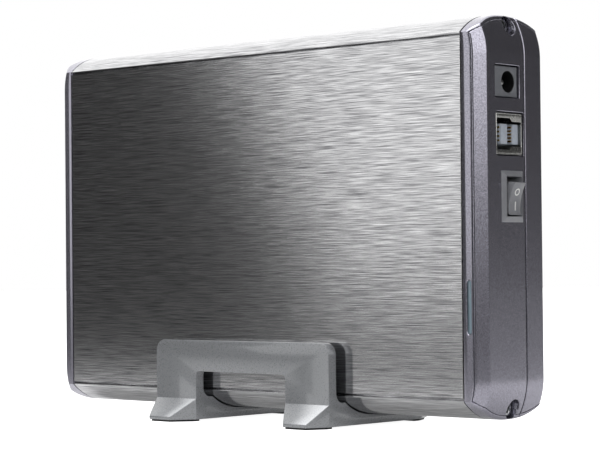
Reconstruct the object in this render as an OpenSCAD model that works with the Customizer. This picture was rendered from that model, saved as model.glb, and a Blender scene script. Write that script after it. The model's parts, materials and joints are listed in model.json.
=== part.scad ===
// External 3.5 inch hard disk drive: a brushed aluminium shell with two moulded end caps,
// the drive and its bridge board on a pull-out tray, and a U-shaped desk stand.
// Drawing coordinates are centred on the shell: X along the shell with the ports at +X,
// Y through its thickness, Z up. place() moves them to the base of the stand.

/* [Shell] */
// Length of the brushed shell between the end caps
shell_len = 167; // [167:1:190]
// Thickness of the shell
shell_t = 32.7; // [32.7:0.1:38]
// Height of each flat brushed face
face_h = 106; // [105.6:0.1:110]
// Rise of each curved narrow side above the flat face
side_rise = 5.8; // [5.5:0.1:7]
// Wall of the shell
shell_wall = 1.5; // [1.2:0.1:1.5]
// Width of the fine groove along each edge of the flat faces
groove_w = 0.5; // [0.3:0.1:0.8]

/* [End caps] */
// Length of the rim that continues the shell
cap_rim = 3.7; // [3:0.1:5]
// Length of the bevelled nose beyond the rim
cap_nose = 3.6; // [3:0.1:5]
// Wall of the caps
cap_wall = 2; // [1.6:0.1:2.2]
// Place across the thickness of the seam between a cap and its trim
seam_y = 4.63; // [4.4:0.01:6]
// Distance of the cap screws above and below the middle
cap_screw_z = 55.7; // [55:0.1:56]

/* [Ports] */
// Height of the middle of the power socket above the shell's centre
jack_z = 39.1; // [36:0.1:39.5]
// Height of the middle of the data socket above the shell's centre
usb_z = 23.95; // [22:0.1:25]
// Height of the middle of the power switch above the shell's centre
switch_z = 5.85; // [3:0.1:7]
// Tilt of the rocker from its middle
rocker_tilt = 12.2; // [8:0.1:13]
// Height of the middle of the light bar above the shell's centre
led_z = -25.95; // [-30:0.1:-22]
// Length of the light bar
led_len = 15.4; // [10:0.1:20]

/* [Stand] */
// Width of the stand along the shell
stand_w = 74.2; // [60:0.1:90]
// Width of each leg
leg_w = 17.9; // [14:0.1:20]
// Thickness of the stand's upright plates
plate_t = 3.4; // [2.5:0.1:4]
// Gap between an upright plate and the shell
plate_gap = 2.15; // [0.5:0.05:3]
// Height of the plates' top edge above the underside of the arms
plate_h = 25.15; // [20:0.05:40]
// Reach of each foot beyond its plate
foot_reach = 6.7; // [4:0.1:10]
// Thickness of the rubber pads
pad_t = 0.6; // [0.4:0.1:1.5]

/* [Drive] */
// Length of the drive
drive_len = 147; // [146:0.1:147]
// Width of the drive
drive_w = 101.6; // [101.6:0.1:101.6]
// Thickness of the drive
drive_t = 26.1; // [26.1:0.1:26.1]
// Diameter of the platters
platter_d = 95; // [90:0.5:95]
// Swing of the heads from the parking ramp to the innermost track
head_swing = 35; // [20:1:35]

/* [Hidden] */

$fn = 64;
eps = 0.01;
gap = 0.1;            // parting gap between pieces that are fixed together
fit = 0.05;           // radial clearance of a screw or a pin in its hole
clear = 0.3;          // clearance between pieces that move past each other

half_t = shell_t / 2;
shoulder_z = face_h / 2;
crown_z = shoulder_z + side_rise;
shell_end = shell_len / 2;
rim_end = shell_end + cap_rim;
cap_end = rim_end + cap_nose - 0.02;
bevel = cap_nose;
arm_under = crown_z + 3.2;
floor_z = arm_under + pad_t;

// rocker: the pivot sits behind the panel and the upper end stands proud
rocker_reach = 3.4;
rocker_half = 4.75;
rocker_pivot_x = cap_end - 1.3;
switch_y = -1.75;
rocker_tip = rocker_pivot_x + rocker_reach * cos(rocker_tilt) + rocker_half * sin(rocker_tilt);
mid_x = (rocker_tip - cap_end) / 2;

// drive: its board faces -Y and its plug faces +X
drive_x1 = 67;
drive_x0 = drive_x1 - drive_len;
drive_y0 = -drive_t / 2;
drive_y1 = drive_t / 2;
half_w = drive_w / 2;
floor_y = -8.7;       // inner floor of the drive's base
rim_y = 11.5;         // top of the base's wall
spindle_x = -29;
pivot_x = 30;
pivot_z = -16;
park_angle = 111.3;   // of the arm, from +X towards +Z
coil_angle = park_angle + 180;
platter_r = platter_d / 2;
platter_t = 1.27;
platter_ys = [-3, 3];
hub_r = 12.5;
plug_y = -8.5;
plug_z = 12;
board_y = -9;         // face of the bridge board that carries the sockets
board_t = 1.6;
tray_y0 = -14.45;
tray_t = 1;
side_hole_y = drive_y0 + 6.35;
side_hole_xs = [drive_x1 - 28.5, drive_x1 - 28.5 - 101.6];
cover_holes = [[-75, 45.5], [28, 48.4], [63.8, 47.2], [-75, -45.5], [28, -48.4], [63.8, -47.2]];
board_holes = [[75, 39], [75, -40]];
cap_tabs_y = -5.5;
cap_tabs_z = 47.6;

// Whole drawing to its place on the floor
module place() translate([-mid_x, 0, floor_z]) children();

// Flat outlines carried along an axis
module along_x(x0, x1) translate([x0, 0, 0]) rotate([90, 0, 90]) linear_extrude(x1 - x0) children();
module along_y(y0, y1) translate([0, y1, 0]) rotate([90, 0, 0]) linear_extrude(y1 - y0) children();
module along_z(z0, z1) translate([0, 0, z0]) linear_extrude(z1 - z0) children();

module block(x, y, z) translate([x[0], y[0], z[0]]) cube([x[1] - x[0], y[1] - y[0], z[1] - z[0]]);
module rod_x(r, x, y, z) translate([x[0], y, z]) rotate([0, 90, 0]) cylinder(r = r, h = x[1] - x[0]);
module rod_y(r, y, x, z) translate([x, y[0], z]) rotate([-90, 0, 0]) cylinder(r = r, h = y[1] - y[0]);

// Part of a ring between two angles
module sector(r0, r1, mid, half) intersection() {
    difference() {
        circle(r1);
        circle(r0);
    }
    rotate(mid) polygon([[0, 0], 2 * r1 * [cos(half), -sin(half)], [2 * r1, 0], 2 * r1 * [cos(half), sin(half)]]);
}

// Pan-head screw with a cross recess, head up, its seat at z = 0
module screw(head_r, head_h, shank_r, shank_l) {
    difference() {
        union() {
            cylinder(r = head_r, h = head_h * 0.6);
            translate([0, 0, head_h * 0.6]) cylinder(r = head_r * 0.86, h = head_h * 0.4);
            translate([0, 0, -shank_l]) cylinder(r = shank_r, h = shank_l + eps);
        }
        for (turn = [0, 90]) rotate(turn)
            translate([-head_r * 0.55, -head_r * 0.13, head_h * 0.45]) cube([head_r * 1.1, head_r * 0.26, head_h]);
    }
}

// Section of the shell in Y and Z, drawn inwards by an inset. Each narrow side bulges between two
// creases: its height is rise * (1 - |y / half thickness| to the power 2.6)
function side_pts(a, zc, rise) = [for (i = [-14 : 14]) let (u = -i / 14) [a * u, zc + rise * (1 - pow(abs(u), 2.6))]];
function section(inset) = let (top = side_pts(half_t - inset, shoulder_z - 0.3 * inset, side_rise - 0.7 * inset))
    concat(top, -top);

// How far a cap's nose falls back towards both narrow sides
function fall(z) = 0.0285 * pow(max(0, abs(z) - 47), 1.95);
nose_zs = [for (i = [-6 : 6]) if (i != 0) sign(i) * (47 + (crown_z + 0.1 - 47) * (abs(i) - 1) / 5)];
// Bar with both front edges cut off at 45 degrees, falling back with the height
module nose_block(x0, inset) {
    cut = cap_end - rim_end - 0.6 * inset;
    rows = [for (z = nose_zs) let (x = cap_end - inset - fall(z))
        [[x0, -half_t, z], [x - cut, -half_t, z], [x, cut - half_t, z], [x, half_t - cut, z], [x - cut, half_t, z], [x0, half_t, z]]];
    last = 6 * (len(rows) - 1);
    polyhedron(points = [for (row = rows, p = row) p],
        faces = concat([[0, 1, 2, 3, 4, 5]], [[for (k = [5 : -1 : 0]) last + k]],
            [for (i = [0 : len(rows) - 2], k = [0 : 5]) [6 * i + k, 6 * i + 6 + k, 6 * i + 6 + (k + 1) % 6, 6 * i + (k + 1) % 6]]));
}
// Solid outer shape of the cap at +X, drawn inwards by an inset
module cap_form(x0, inset) intersection() {
    along_x(x0, cap_end - inset) polygon(section(inset));
    nose_block(x0 - 1, inset);
}

// Hollow cap with the spigot that enters the shell
spigot_len = 4;
cap_foot = shell_end + gap;
module cap_hollow() {
    difference() {
        cap_form(cap_foot, 0);
        cap_form(cap_foot - 1, cap_wall);
    }
    difference() {
        along_x(shell_end - spigot_len, cap_foot + 1) polygon(section(shell_wall + 0.15));
        along_x(shell_end - spigot_len - 1, cap_foot + 2) polygon(section(shell_wall + 1.35));
    }
}

screw_seat = cap_end - 5.6;
screw_head_h = 2;
module cap_front_part() {
    difference() {
        union() {
            intersection() {
                union() {
                    cap_hollow();
                    intersection() {
                        cap_form(cap_foot, 0.2);
                        for (s = [-1, 1]) rod_x(4.2, [cap_foot, cap_end], 0, s * cap_screw_z);
                    }
                }
                block([0, 100], [-half_t - 1, seam_y - 0.25], [-crown_z - 1, crown_z + 1]);
            }
        }
        for (s = [-1, 1]) {
            rod_x(1.6, [cap_foot - 1, cap_end], 0, s * cap_screw_z);
            rod_x(2.85, [screw_seat, cap_end + 1], 0, s * cap_screw_z);
            // room for the screw channel's end
            rod_x(2.9, [shell_end - spigot_len - 1, cap_foot], 0, s * cap_screw_z);
        }
    }
}
tab_x = cap_end - cap_wall - 0.05;
module cap_trim_part() {
    intersection() {
        cap_hollow();
        block([0, 100], [seam_y + 0.25, half_t + 1], [-crown_z - 1, crown_z + 1]);
    }
    // snap tabs that lie behind the panel of the other moulding
    for (z = [-40, -16, 40]) {
        block([tab_x - 1.3, tab_x], [seam_y - 1.6, seam_y + 2], [z - 3, z + 3]);
        block([tab_x - eps, tab_x + 0.3], [seam_y + 0.3, seam_y + 2], [z - 3, z + 3]);
    }
}
module cap_screw_pair() for (s = [-1, 1])
    translate([screw_seat, 0, s * cap_screw_z]) rotate([0, 90, 0]) rotate(20) screw(2.5, screw_head_h, 1.45, 12);

// ---- stand -------------------------------------------------------------------------------

leg_out = stand_w / 2;
leg_in = leg_out - leg_w;
plate_in = half_t + plate_gap;
plate_out = plate_in + plate_t;
plate_top = plate_h - arm_under;
crease_z = -arm_under + 6.6;
foot_end = plate_out + foot_reach;
lip_h = 1;
corner_r = 3.6;
window_top = plate_top - 9.85;
window_r = 1.2;

// Outline of an arm in Y and Z, open at the top round the shell
module arm_outline() difference() {
    polygon([[-plate_out, plate_top], [-plate_out, crease_z], [-foot_end, -arm_under + lip_h], [-foot_end, -arm_under],
        [foot_end, -arm_under], [foot_end, -arm_under + lip_h], [plate_out, crease_z], [plate_out, plate_top]]);
    polygon(section(-clear));
    translate([-plate_in, -shoulder_z + 1]) square([2 * plate_in, 60]);
    for (s = [-1, 1]) translate([s * (plate_in - 3), -shoulder_z + 1]) circle(3);
}
module leg_plan() for (s = [-1, 1])
    polygon([[leg_in, 0], [leg_in, s * plate_out], [leg_in + 5.2, s * foot_end], [leg_out - 3.4, s * foot_end],
        [leg_out, s * plate_out], [leg_out, 0]]);
module plate_outline() difference() {
    union() {
        translate([-leg_out, crease_z]) square([stand_w, plate_top - crease_z - corner_r]);
        translate([-leg_out + corner_r, crease_z]) square([stand_w - 2 * corner_r, plate_top - crease_z]);
        for (s = [-1, 1]) translate([s * (leg_out - corner_r), plate_top - corner_r]) circle(corner_r);
    }
    translate([-leg_in, crease_z - 1]) square([2 * leg_in, window_top - window_r - crease_z + 1]);
    translate([-leg_in + window_r, crease_z - 1]) square([2 * (leg_in - window_r), window_top - crease_z + 1]);
    for (s = [-1, 1]) translate([s * (leg_in - window_r), window_top - window_r]) circle(window_r);
}
module stand_cradle() place() color([0.47, 0.48, 0.49]) {
    intersection() {
        for (s = [0, 1]) mirror([s, 0, 0]) intersection() {
            along_x(leg_in, leg_out) arm_outline();
            along_z(-arm_under, plate_top) leg_plan();
        }
        union() {
            block([-leg_out, leg_out], [-foot_end, foot_end], [-arm_under, plate_top - corner_r]);
            along_y(-foot_end, foot_end) plate_outline();
        }
    }
    for (s = [0, 1]) mirror([0, s, 0]) along_y(-plate_out, -plate_in) plate_outline();
}
module stand_pads() place() color([0.08, 0.08, 0.08]) for (s = [0, 1], t = [0, 1])
    mirror([s, 0, 0]) mirror([0, t, 0]) along_z(-floor_z, -arm_under)
        polygon([[leg_in + 1, -plate_out + 2.4], [leg_in + 1, -plate_out], [leg_in + 5.7, -foot_end + 0.6],
            [leg_out - 3.9, -foot_end + 0.6], [leg_out - 1, -plate_out], [leg_out - 1, -plate_out + 2.4]]);

// ---- shell and its far end ---------------------------------------------------------------

channel_r = 2.6;
module shell() place() color([0.62, 0.62, 0.63]) difference() {
    union() {
        difference() {
            along_x(-shell_end, shell_end) polygon(section(0));
            along_x(-shell_end - 1, shell_end + 1) polygon(section(shell_wall));
        }
        // screw channels inside both narrow sides
        for (s = [-1, 1]) rod_x(channel_r, [-shell_end, shell_end], 0, s * cap_screw_z);
    }
    for (s = [-1, 1]) rod_x(1.5, [-shell_end - 1, shell_end + 1], 0, s * cap_screw_z);
    // fine grooves just inside the edges of both flat faces
    for (s = [-1, 1], t = [-1, 1]) translate([0, s * half_t, t * (shoulder_z - 0.65)]) rotate([45, 0, 0])
        cube([shell_len + 2, groove_w * 0.8, groove_w * 0.8], center = true);
}
module front_end_cap() place() color([0.40, 0.41, 0.44]) mirror([1, 0, 0]) cap_front_part();
module front_cap_trim() place() color([0.38, 0.39, 0.42]) mirror([1, 0, 0]) cap_trim_part();
module front_cap_screws() place() color([0.75, 0.75, 0.76]) mirror([1, 0, 0]) cap_screw_pair();

// ---- rear cap with the ports -------------------------------------------------------------

jack_y = [-9, 1.9];
jack_h = 8.9;
usb_y = [-8.6, 3.75];
usb_h = 12.1;
led_x = [rim_end - 1.9, rim_end - 0.5];
module led_outline(grow) {
    r = (led_x[1] - led_x[0]) / 2 + grow;
    translate([led_x[0] - grow, led_z - led_len / 2 + r - grow]) square([2 * r, led_len - 2 * r + 2 * grow]);
    for (s = [-1, 1]) translate([led_x[0] - grow + r, led_z + s * (led_len / 2 - r + grow)]) circle(r);
}
module rear_end_cap() place() color([0.40, 0.41, 0.44]) {
    difference() {
        cap_front_part();
        block([80, 100], [jack_y[0] - 0.3, jack_y[1] + 0.5], [jack_z - jack_h / 2 - 0.5, jack_z + jack_h / 2 + 0.3]);
        block([80, 100], [usb_y[0] - 0.3, usb_y[1] + 0.35], [usb_z - usb_h / 2 - 0.4, usb_z + usb_h / 2 + 0.4]);
        block([80, 100], [switch_y - 4.45, switch_y + 4.45], [switch_z - 6.65, switch_z + 6.65]);
        along_y(-half_t - 1, -half_t + 5) led_outline(0.05);
    }
    // posts for the tray's tabs
    for (s = [-1, 1]) difference() {
        rod_x(2.3, [79 + gap, cap_end - cap_wall + eps], cap_tabs_y, s * cap_tabs_z);
        rod_x(1.25, [79, 86], cap_tabs_y, s * cap_tabs_z);
    }
}
module rear_cap_trim() place() color([0.38, 0.39, 0.42]) cap_trim_part();
module rear_cap_screws() place() color([0.75, 0.75, 0.76]) cap_screw_pair();
module led_lens() place() color([0.16, 0.30, 0.38]) along_y(-half_t, -13) led_outline(0);
module power_led() place() color([0.92, 0.92, 0.85])
    block([led_x[0] - 0.4, led_x[1] + 0.6], [-12.5, board_y - board_t], [led_z - 1.75, led_z + 1.75]);

// ---- tray and bridge board ---------------------------------------------------------------

tray_x = [-72, 79];
flange_z = half_w + 0.25;
module drive_tray() place() color([0.70, 0.71, 0.70]) {
    difference() {
        union() {
            block(tray_x, [tray_y0, tray_y0 + tray_t], [-flange_z - tray_t, flange_z + tray_t]);
            for (s = [-1, 1])
                translate([0, 0, s * (flange_z + tray_t / 2)])
                    block(tray_x, [tray_y0, -3.5], [-tray_t / 2, tray_t / 2]);
            for (s = [0, 1]) mirror([0, 0, s])
                block([78, 79], [cap_tabs_y - 3.5, cap_tabs_y + 3], [44.2, flange_z + eps]);
            for (h = board_holes) rod_y(2.6, [tray_y0 + tray_t - eps, board_y - board_t], h[0], h[1]);
        }
        for (s = [-1, 1], x = side_hole_xs)
            translate([x, side_hole_y, s * (flange_z + tray_t / 2)]) cylinder(r = 1.85, h = 3, center = true);
        for (s = [-1, 1]) rod_x(1.4, [77, 80], cap_tabs_y, s * cap_tabs_z);
        for (h = board_holes) rod_y(1.3, [tray_y0 - 1, board_y], h[0], h[1]);
        // vent slots
        for (i = [0 : 5], k = [-1 : 1])
            block([-62 + 22 * i, -48 + 22 * i], [tray_y0 - 1, tray_y0 + 2], [28 * k - 3, 28 * k + 3]);
    }
}
module tray_screws() place() color([0.72, 0.72, 0.74]) for (s = [0, 1], x = side_hole_xs)
    mirror([0, 0, s]) translate([x, side_hole_y, flange_z + tray_t]) screw(3, 1.9, 1.65, 4.3);
module cap_bracket_screws() place() color([0.72, 0.72, 0.74]) for (s = [-1, 1])
    translate([78, cap_tabs_y, s * cap_tabs_z]) rotate([0, -90, 0]) screw(2.2, 1.6, 1.2, 6);
module bridge_board() place() color([0.10, 0.30, 0.20]) difference() {
    block([72.6, 87], [board_y - board_t, board_y], [-44, 44]);
    for (h = board_holes) rod_y(1.35, [board_y - 3, board_y + 1], h[0], h[1]);
}
module board_screws() place() color([0.72, 0.72, 0.74]) for (h = board_holes)
    translate([h[0], board_y, h[1]]) rotate([-90, 0, 0]) screw(2.3, 1.5, 1.25, 5);
module bridge_chip() place() color([0.10, 0.10, 0.11]) {
    block([76, 85], [board_y + 0.15, board_y + 1.3], [-35, -26]);
    // leads along two edges
    for (i = [0 : 11], s = [0, 1]) translate([80.5, 0, -30.5]) mirror([0, 0, s])
        block([-4.1 + 0.7 * i, -3.8 + 0.7 * i], [board_y, board_y + 0.35], [4.3, 5.3]);
}
module board_capacitors() place() color([0.20, 0.21, 0.24]) for (z = [-19, -10.5]) {
    rod_y(3.15, [board_y + 0.5, board_y + 7.6], 81, z);
    block([77.7, 84.3], [board_y, board_y + 0.5 + eps], [z - 3.3, z + 3.3]);
}
module board_crystal() place() color([0.78, 0.78, 0.79]) along_y(board_y, board_y + 3.4)
    for (s = [-1, 1]) translate([75.5, -16.5 + s * 3.3]) {
        circle(2.2);
        translate([-2.2, -max(0, s) * 3.3]) square([4.4, 3.3]);
    }
module sata_receptacle() place() color([0.08, 0.08, 0.09]) difference() {
    union() {
        block([67.4, 72.5], [plug_y - 2.9, plug_y + 2.4], [plug_z - 22, plug_z + 22]);
        block([63.2, 67.4 + eps], [plug_y - 1.5, plug_y + 1.5], [plug_z - 20, plug_z + 20]);
    }
    block([63, 67.4], [plug_y - 0.7, plug_y + 0.7], [plug_z - 19.3, plug_z + 19.3]);
}

// ---- sockets -----------------------------------------------------------------------------

jack_face = cap_end - 0.5;
jack_axis_y = -2.2;
module dc_jack() place() color([0.33, 0.35, 0.35]) difference() {
    block([78, jack_face], jack_y, [jack_z - jack_h / 2, jack_z + jack_h / 2]);
    rod_x(3.15, [80.3, jack_face + 1], jack_axis_y, jack_z);
    block([80.3, 88], [jack_axis_y - 4.4, jack_axis_y], [jack_z - 0.9, jack_z + 0.9]);
    // seat of the pin
    rod_x(1.1, [78.5, 81], jack_axis_y, jack_z);
}
module dc_jack_pin() place() color([0.80, 0.78, 0.70]) rod_x(1.05, [78.5, 88.3], jack_axis_y, jack_z);
module dc_jack_spring() place() color([0.82, 0.76, 0.55]) {
    block([80.3, 87.6], [jack_axis_y - 4.2, jack_axis_y - 3.9], [jack_z - 0.8, jack_z + 0.8]);
    block([84.6, 86.6], [jack_axis_y - 3.95, jack_axis_y - 2.9], [jack_z - 0.8, jack_z + 0.8]);
}
usb_face = cap_end - 0.2;
sheet = 0.4;
module usb_shell() place() color([0.78, 0.78, 0.78]) {
    difference() {
        block([74, usb_face], usb_y, [usb_z - usb_h / 2, usb_z + usb_h / 2]);
        block([74 + sheet, usb_face + 1], [usb_y[0] + sheet, usb_y[1] - sheet],
            [usb_z - usb_h / 2 + sheet, usb_z + usb_h / 2 - sheet]);
    }
    // lips folded in round the stepped mouth
    for (s = [0, 1]) translate([0, 0, usb_z]) mirror([0, 0, s]) {
        block([usb_face - sheet, usb_face], [usb_y[0] + sheet - eps, -1], [4.6, usb_h / 2 - sheet + eps]);
        block([usb_face - sheet, usb_face], [-1 - eps, usb_y[1] - sheet + eps], [3.6, usb_h / 2 - sheet + eps]);
    }
}
usb_tongues = [[-5.6, -2.4], [0.05, 2.75]];
module usb_tongue() place() color([0.86, 0.89, 0.93]) {
    block([74.5, 77], [usb_y[0] + 0.5, usb_y[1] - 0.5], [usb_z - 5.5, usb_z + 5.5]);
    for (t = usb_tongues) block([77 - eps, usb_face - 0.65], t, [usb_z - 2.95, usb_z + 2.95]);
}
module usb_contacts() place() color([0.83, 0.70, 0.35]) {
    for (z = [-1.9, -0.65, 0.65, 1.9], y = [usb_tongues[0][0] - 0.2, usb_tongues[0][1]])
        block([77, usb_face - 1.2], [y, y + 0.2], [usb_z + z - 0.3, usb_z + z + 0.3]);
    for (z = [-2, -1, 0, 1, 2])
        block([77, usb_face - 1.2], [usb_tongues[1][0] - 0.2, usb_tongues[1][0]], [usb_z + z - 0.25, usb_z + z + 0.25]);
}

// ---- power switch ------------------------------------------------------------------------

bezel = [10.5, 15.2];
bezel_h = 1;
bezel_slope = 1.6;
mouth = [7.1, 11.4];
module switch_housing() place() color([0.34, 0.36, 0.37]) translate([0, switch_y, switch_z]) difference() {
    union() {
        intersection() {
            along_z(-bezel[1] / 2, bezel[1] / 2) polygon([[cap_end + 0.02, -bezel[0] / 2], [cap_end + bezel_h, -bezel[0] / 2 + bezel_slope],
                [cap_end + bezel_h, bezel[0] / 2 - bezel_slope], [cap_end + 0.02, bezel[0] / 2]]);
            along_y(-bezel[0] / 2, bezel[0] / 2) polygon([[cap_end + 0.02, -bezel[1] / 2], [cap_end + bezel_h, -bezel[1] / 2 + bezel_slope],
                [cap_end + bezel_h, bezel[1] / 2 - bezel_slope], [cap_end + 0.02, bezel[1] / 2]]);
        }
        block([77, cap_end + 0.03], [-4.3, 4.3], [-6.5, 6.5]);
    }
    block([78, cap_end + 2], [-mouth[0] / 2, mouth[0] / 2], [-mouth[1] / 2, mouth[1] / 2]);
    rod_y(0.85, [-4, 4], rocker_pivot_x, 0);
}
module switch_terminals() place() color([0.80, 0.72, 0.45]) for (z = [-3.25, 3.25])
    block([71, 77], [switch_y - 1.4, switch_y + 1.4], [switch_z + z - 0.25, switch_z + z + 0.25]);
wire_r = 0.6;
wire_foot_y = board_y + wire_r + fit;
wire_ends = [[[71.4, switch_y - 2, 2.6], [70.8, -5, 0], [76.5, -5, -6], [76.5, wire_foot_y, -6]],
    [[71.4, switch_y - 2, 9.1], [68.4, -3, 6], [68.4, -3, -3], [80.5, -3, -5], [80.5, wire_foot_y, -5]]];
module switch_wires() place() color([0.55, 0.08, 0.07]) for (w = wire_ends)
    for (i = [0 : len(w) - 2]) hull() {
        translate(w[i]) sphere(wire_r, $fn = 12);
        translate(w[i + 1]) sphere(wire_r, $fn = 12);
    }
// Side of the rocker in X and Z about its pivot, with a hollowed face
module rocker_outline() polygon(concat(
    [for (i = [-6 : 6]) [rocker_reach - 0.8 * (1 - pow(i / 6, 2)), rocker_half * i / 6]],
    [[0.4, 4.5], [-2, 2.2], [-2, -2.2], [0.4, -4.5]]));
module rocker() place() color([0.30, 0.32, 0.33]) translate([rocker_pivot_x, switch_y, switch_z])
    rotate([0, rocker_tilt, 0]) {
        along_y(-2.75, 2.75) rocker_outline();
        rod_y(0.8, [-3.9, 3.9], 0, 0);
    }

// ---- hard disk drive ---------------------------------------------------------------------

// Plan of the sealed space in X and Z, drawn larger by a margin
module bay_outline(grow) {
    translate([spindle_x, 0]) circle(platter_r + 1.1 + grow, $fn = 128);
    translate([-5, -46 - grow]) square([67 + grow, 34 + grow]);
    translate([-5, -13]) square([62 + grow, 59 + grow]);
}
module drive_base() place() color([0.66, 0.66, 0.67]) difference() {
    block([drive_x0, drive_x1], [drive_y0, rim_y], [-half_w, half_w]);
    along_y(floor_y, rim_y + 1) bay_outline(0);
    block([-12, drive_x1 + 1], [drive_y0 - 1, -10.7], [-46.4, 46.4]);
    block([59.6, drive_x1 + 1], [-11, plug_y + 2.6], [plug_z - 21.4, plug_z + 21.4]);
    rod_y(7.05, [drive_y0 - 1, 0], spindle_x, 0);
    for (s = [0, 1], x = side_hole_xs) mirror([0, 0, s])
        translate([x, side_hole_y, half_w - 3.8]) cylinder(r = 1.7, h = 5);
    for (h = cover_holes) rod_y(1.2, [rim_y - 6, rim_y + 1], h[0], h[1]);
    for (s = [-1, 1]) rod_y(1.2, [-11, floor_y - 0.4], 0, s * 40);
}
module cover_gasket() place() color([0.12, 0.12, 0.12]) along_y(rim_y, rim_y + 0.4) difference() {
    translate([drive_x0 + 0.8, -half_w + 0.4]) square([drive_len - 1.6, drive_w - 0.8]);
    bay_outline(0.5);
    for (h = cover_holes) translate(h) circle(1.3);
}
module drive_cover() place() color([0.74, 0.74, 0.75]) difference() {
    block([drive_x0 + 0.6, drive_x1 - 0.6], [rim_y + 0.4, drive_y1], [-half_w + 0.4, half_w - 0.4]);
    // stamped ring over the platters and a recess over the pivot
    along_y(drive_y1 - 0.4, drive_y1 + 1) translate([spindle_x, 0]) difference() {
        circle(44, $fn = 128);
        circle(17);
    }
    rod_y(9, [drive_y1 - 0.4, drive_y1 + 1], pivot_x, pivot_z);
    for (h = cover_holes) rod_y(1.3, [rim_y, drive_y1 + 1], h[0], h[1]);
}
module cover_screws() place() color([0.60, 0.60, 0.62]) for (h = cover_holes)
    translate([h[0], drive_y1, h[1]]) rotate([-90, 0, 0]) screw(2.2, 1.2, 1.15, 6);
module drive_board() place() color([0.08, 0.20, 0.16]) difference() {
    block([-10, 66.4], [-11.9, -10.9], [-46, 46]);
    for (s = [-1, 1]) rod_y(1.3, [-13, -10], 0, s * 40);
}
chip_boxes = [[12, 26, -6, 8], [34, 43, -26, -17], [38, 47, 6, 18], [8, 15, -32, -25]];
module drive_board_chips() place() color([0.10, 0.10, 0.11]) for (c = chip_boxes)
    block([c[0], c[1]], [-12.9, -11.9], [c[2], c[3]]);
module drive_board_screws() place() color([0.72, 0.72, 0.74]) for (s = [-1, 1])
    translate([0, -11.9, s * 40]) rotate([90, 0, 0]) screw(2.1, 1, 1.15, 2.6);
module drive_sata_plug() place() color([0.08, 0.08, 0.09]) difference() {
    block([60, 67.1], [plug_y - 2.3, plug_y + 2.3], [plug_z - 21, plug_z + 21]);
    difference() {
        block([62.6, 68], [plug_y - 1.75, plug_y + 1.75], [plug_z - 20.3, plug_z + 20.3]);
        block([62, 66.8], [plug_y - 0.5, plug_y + 0.5], [plug_z - 19, plug_z + 19]);
    }
}
module spindle_motor() place() color([0.72, 0.72, 0.73]) {
    rod_y(13, [floor_y, floor_y + 0.9], spindle_x, 0);
    rod_y(7, [-11.4, floor_y + eps], spindle_x, 0);
    rod_y(2.5, [floor_y, 6.2], spindle_x, 0);
}
module motor_stator() place() color([0.72, 0.42, 0.22]) along_y(floor_y + 0.9, -2.6) translate([spindle_x, 0]) difference() {
    union() {
        circle(5);
        for (i = [0 : 8]) rotate(40 * i) translate([4, -1.1]) square([5.6, 2.2]);
    }
    circle(3);
}
module yoke_outline() sector(10.5, 29, coil_angle + 17.2, 50.5);
yoke_posts = [[24, 260], [24, 357]];
module lower_yoke() place() color([0.70, 0.70, 0.71]) {
    along_y(floor_y, -4.2) translate([pivot_x, pivot_z]) yoke_outline();
    for (p = yoke_posts) rod_y(1.9, [-4.3, 5.4], pivot_x + p[0] * cos(p[1]), pivot_z + p[0] * sin(p[1]));
}
module magnet_outline() translate([pivot_x, pivot_z]) sector(12, 27, coil_angle + 17.7, 36);
module lower_magnet() place() color([0.55, 0.55, 0.57]) along_y(-4.2, -1.4) magnet_outline();
module upper_magnet() place() color([0.55, 0.55, 0.57]) along_y(2.6, 5.4) magnet_outline();
module upper_yoke() place() color([0.70, 0.70, 0.71]) along_y(5.4, 8.2) translate([pivot_x, pivot_z]) yoke_outline();
module pivot_post() place() color([0.76, 0.76, 0.77]) {
    rod_y(2, [floor_y, 8.6], pivot_x, pivot_z);
    rod_y(4.4, [floor_y, floor_y + 1.6], pivot_x, pivot_z);
}
ramp_reach = 55;
module parking_ramp() place() color([0.90, 0.89, 0.84]) along_y(floor_y, 7.2) translate([pivot_x, pivot_z])
    rotate(park_angle) translate([ramp_reach - 2, -2.6]) square([4.4, 5.2]);
module flex_bracket() place() color([0.15, 0.15, 0.16]) block([44, 56], [floor_y, -2.2], [-13.4, -7.6]);
module flex_ribbon() place() color([0.80, 0.50, 0.15]) {
    along_y(-5.6, 1.4) translate([38, -6]) sector(7, 7.3, 76, 74);
    block([44.9, 45.4], [-5.6, 1.4], [-7.6, -5.5]);
}

// ---- platters ----------------------------------------------------------------------------

module ring_y(r0, r1, y) along_y(y[0], y[1]) translate([spindle_x, 0]) difference() {
    circle(r1, $fn = 128);
    circle(r0);
}
clamp_holes = [for (i = [0 : 5]) [spindle_x + 8.8 * cos(60 * i), 8.8 * sin(60 * i)]];
module spindle_hub() place() color([0.74, 0.74, 0.75]) difference() {
    union() {
        rod_y(hub_r, [-7.2, 4.1], spindle_x, 0);
        rod_y(hub_r + 3, [-5.5, platter_ys[0]], spindle_x, 0);
    }
    rod_y(10.3, [-8, -2.1], spindle_x, 0);
    rod_y(2.55, [-8, 5], spindle_x, 0);
    for (h = clamp_holes) rod_y(1.1, [0.2, 5], h[0], h[1]);
}
module platters() place() color([0.82, 0.82, 0.84]) for (y = platter_ys)
    ring_y(hub_r + fit, platter_r, [y, y + platter_t]);
module platter_spacer() place() color([0.70, 0.70, 0.72])
    ring_y(hub_r + fit, hub_r + 3, [platter_ys[0] + platter_t, platter_ys[1]]);
module platter_clamp() place() color([0.76, 0.76, 0.78]) difference() {
    ring_y(4, hub_r + 2.7, [platter_ys[1] + platter_t, 5.6]);
    for (h = clamp_holes) rod_y(1.15, [4, 6], h[0], h[1]);
}
module clamp_screws() place() color([0.50, 0.50, 0.52]) for (h = clamp_holes)
    translate([h[0], 5.6, h[1]]) rotate([-90, 0, 0]) screw(1.9, 1, 1.05, 4.6);

// ---- actuator ----------------------------------------------------------------------------

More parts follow.
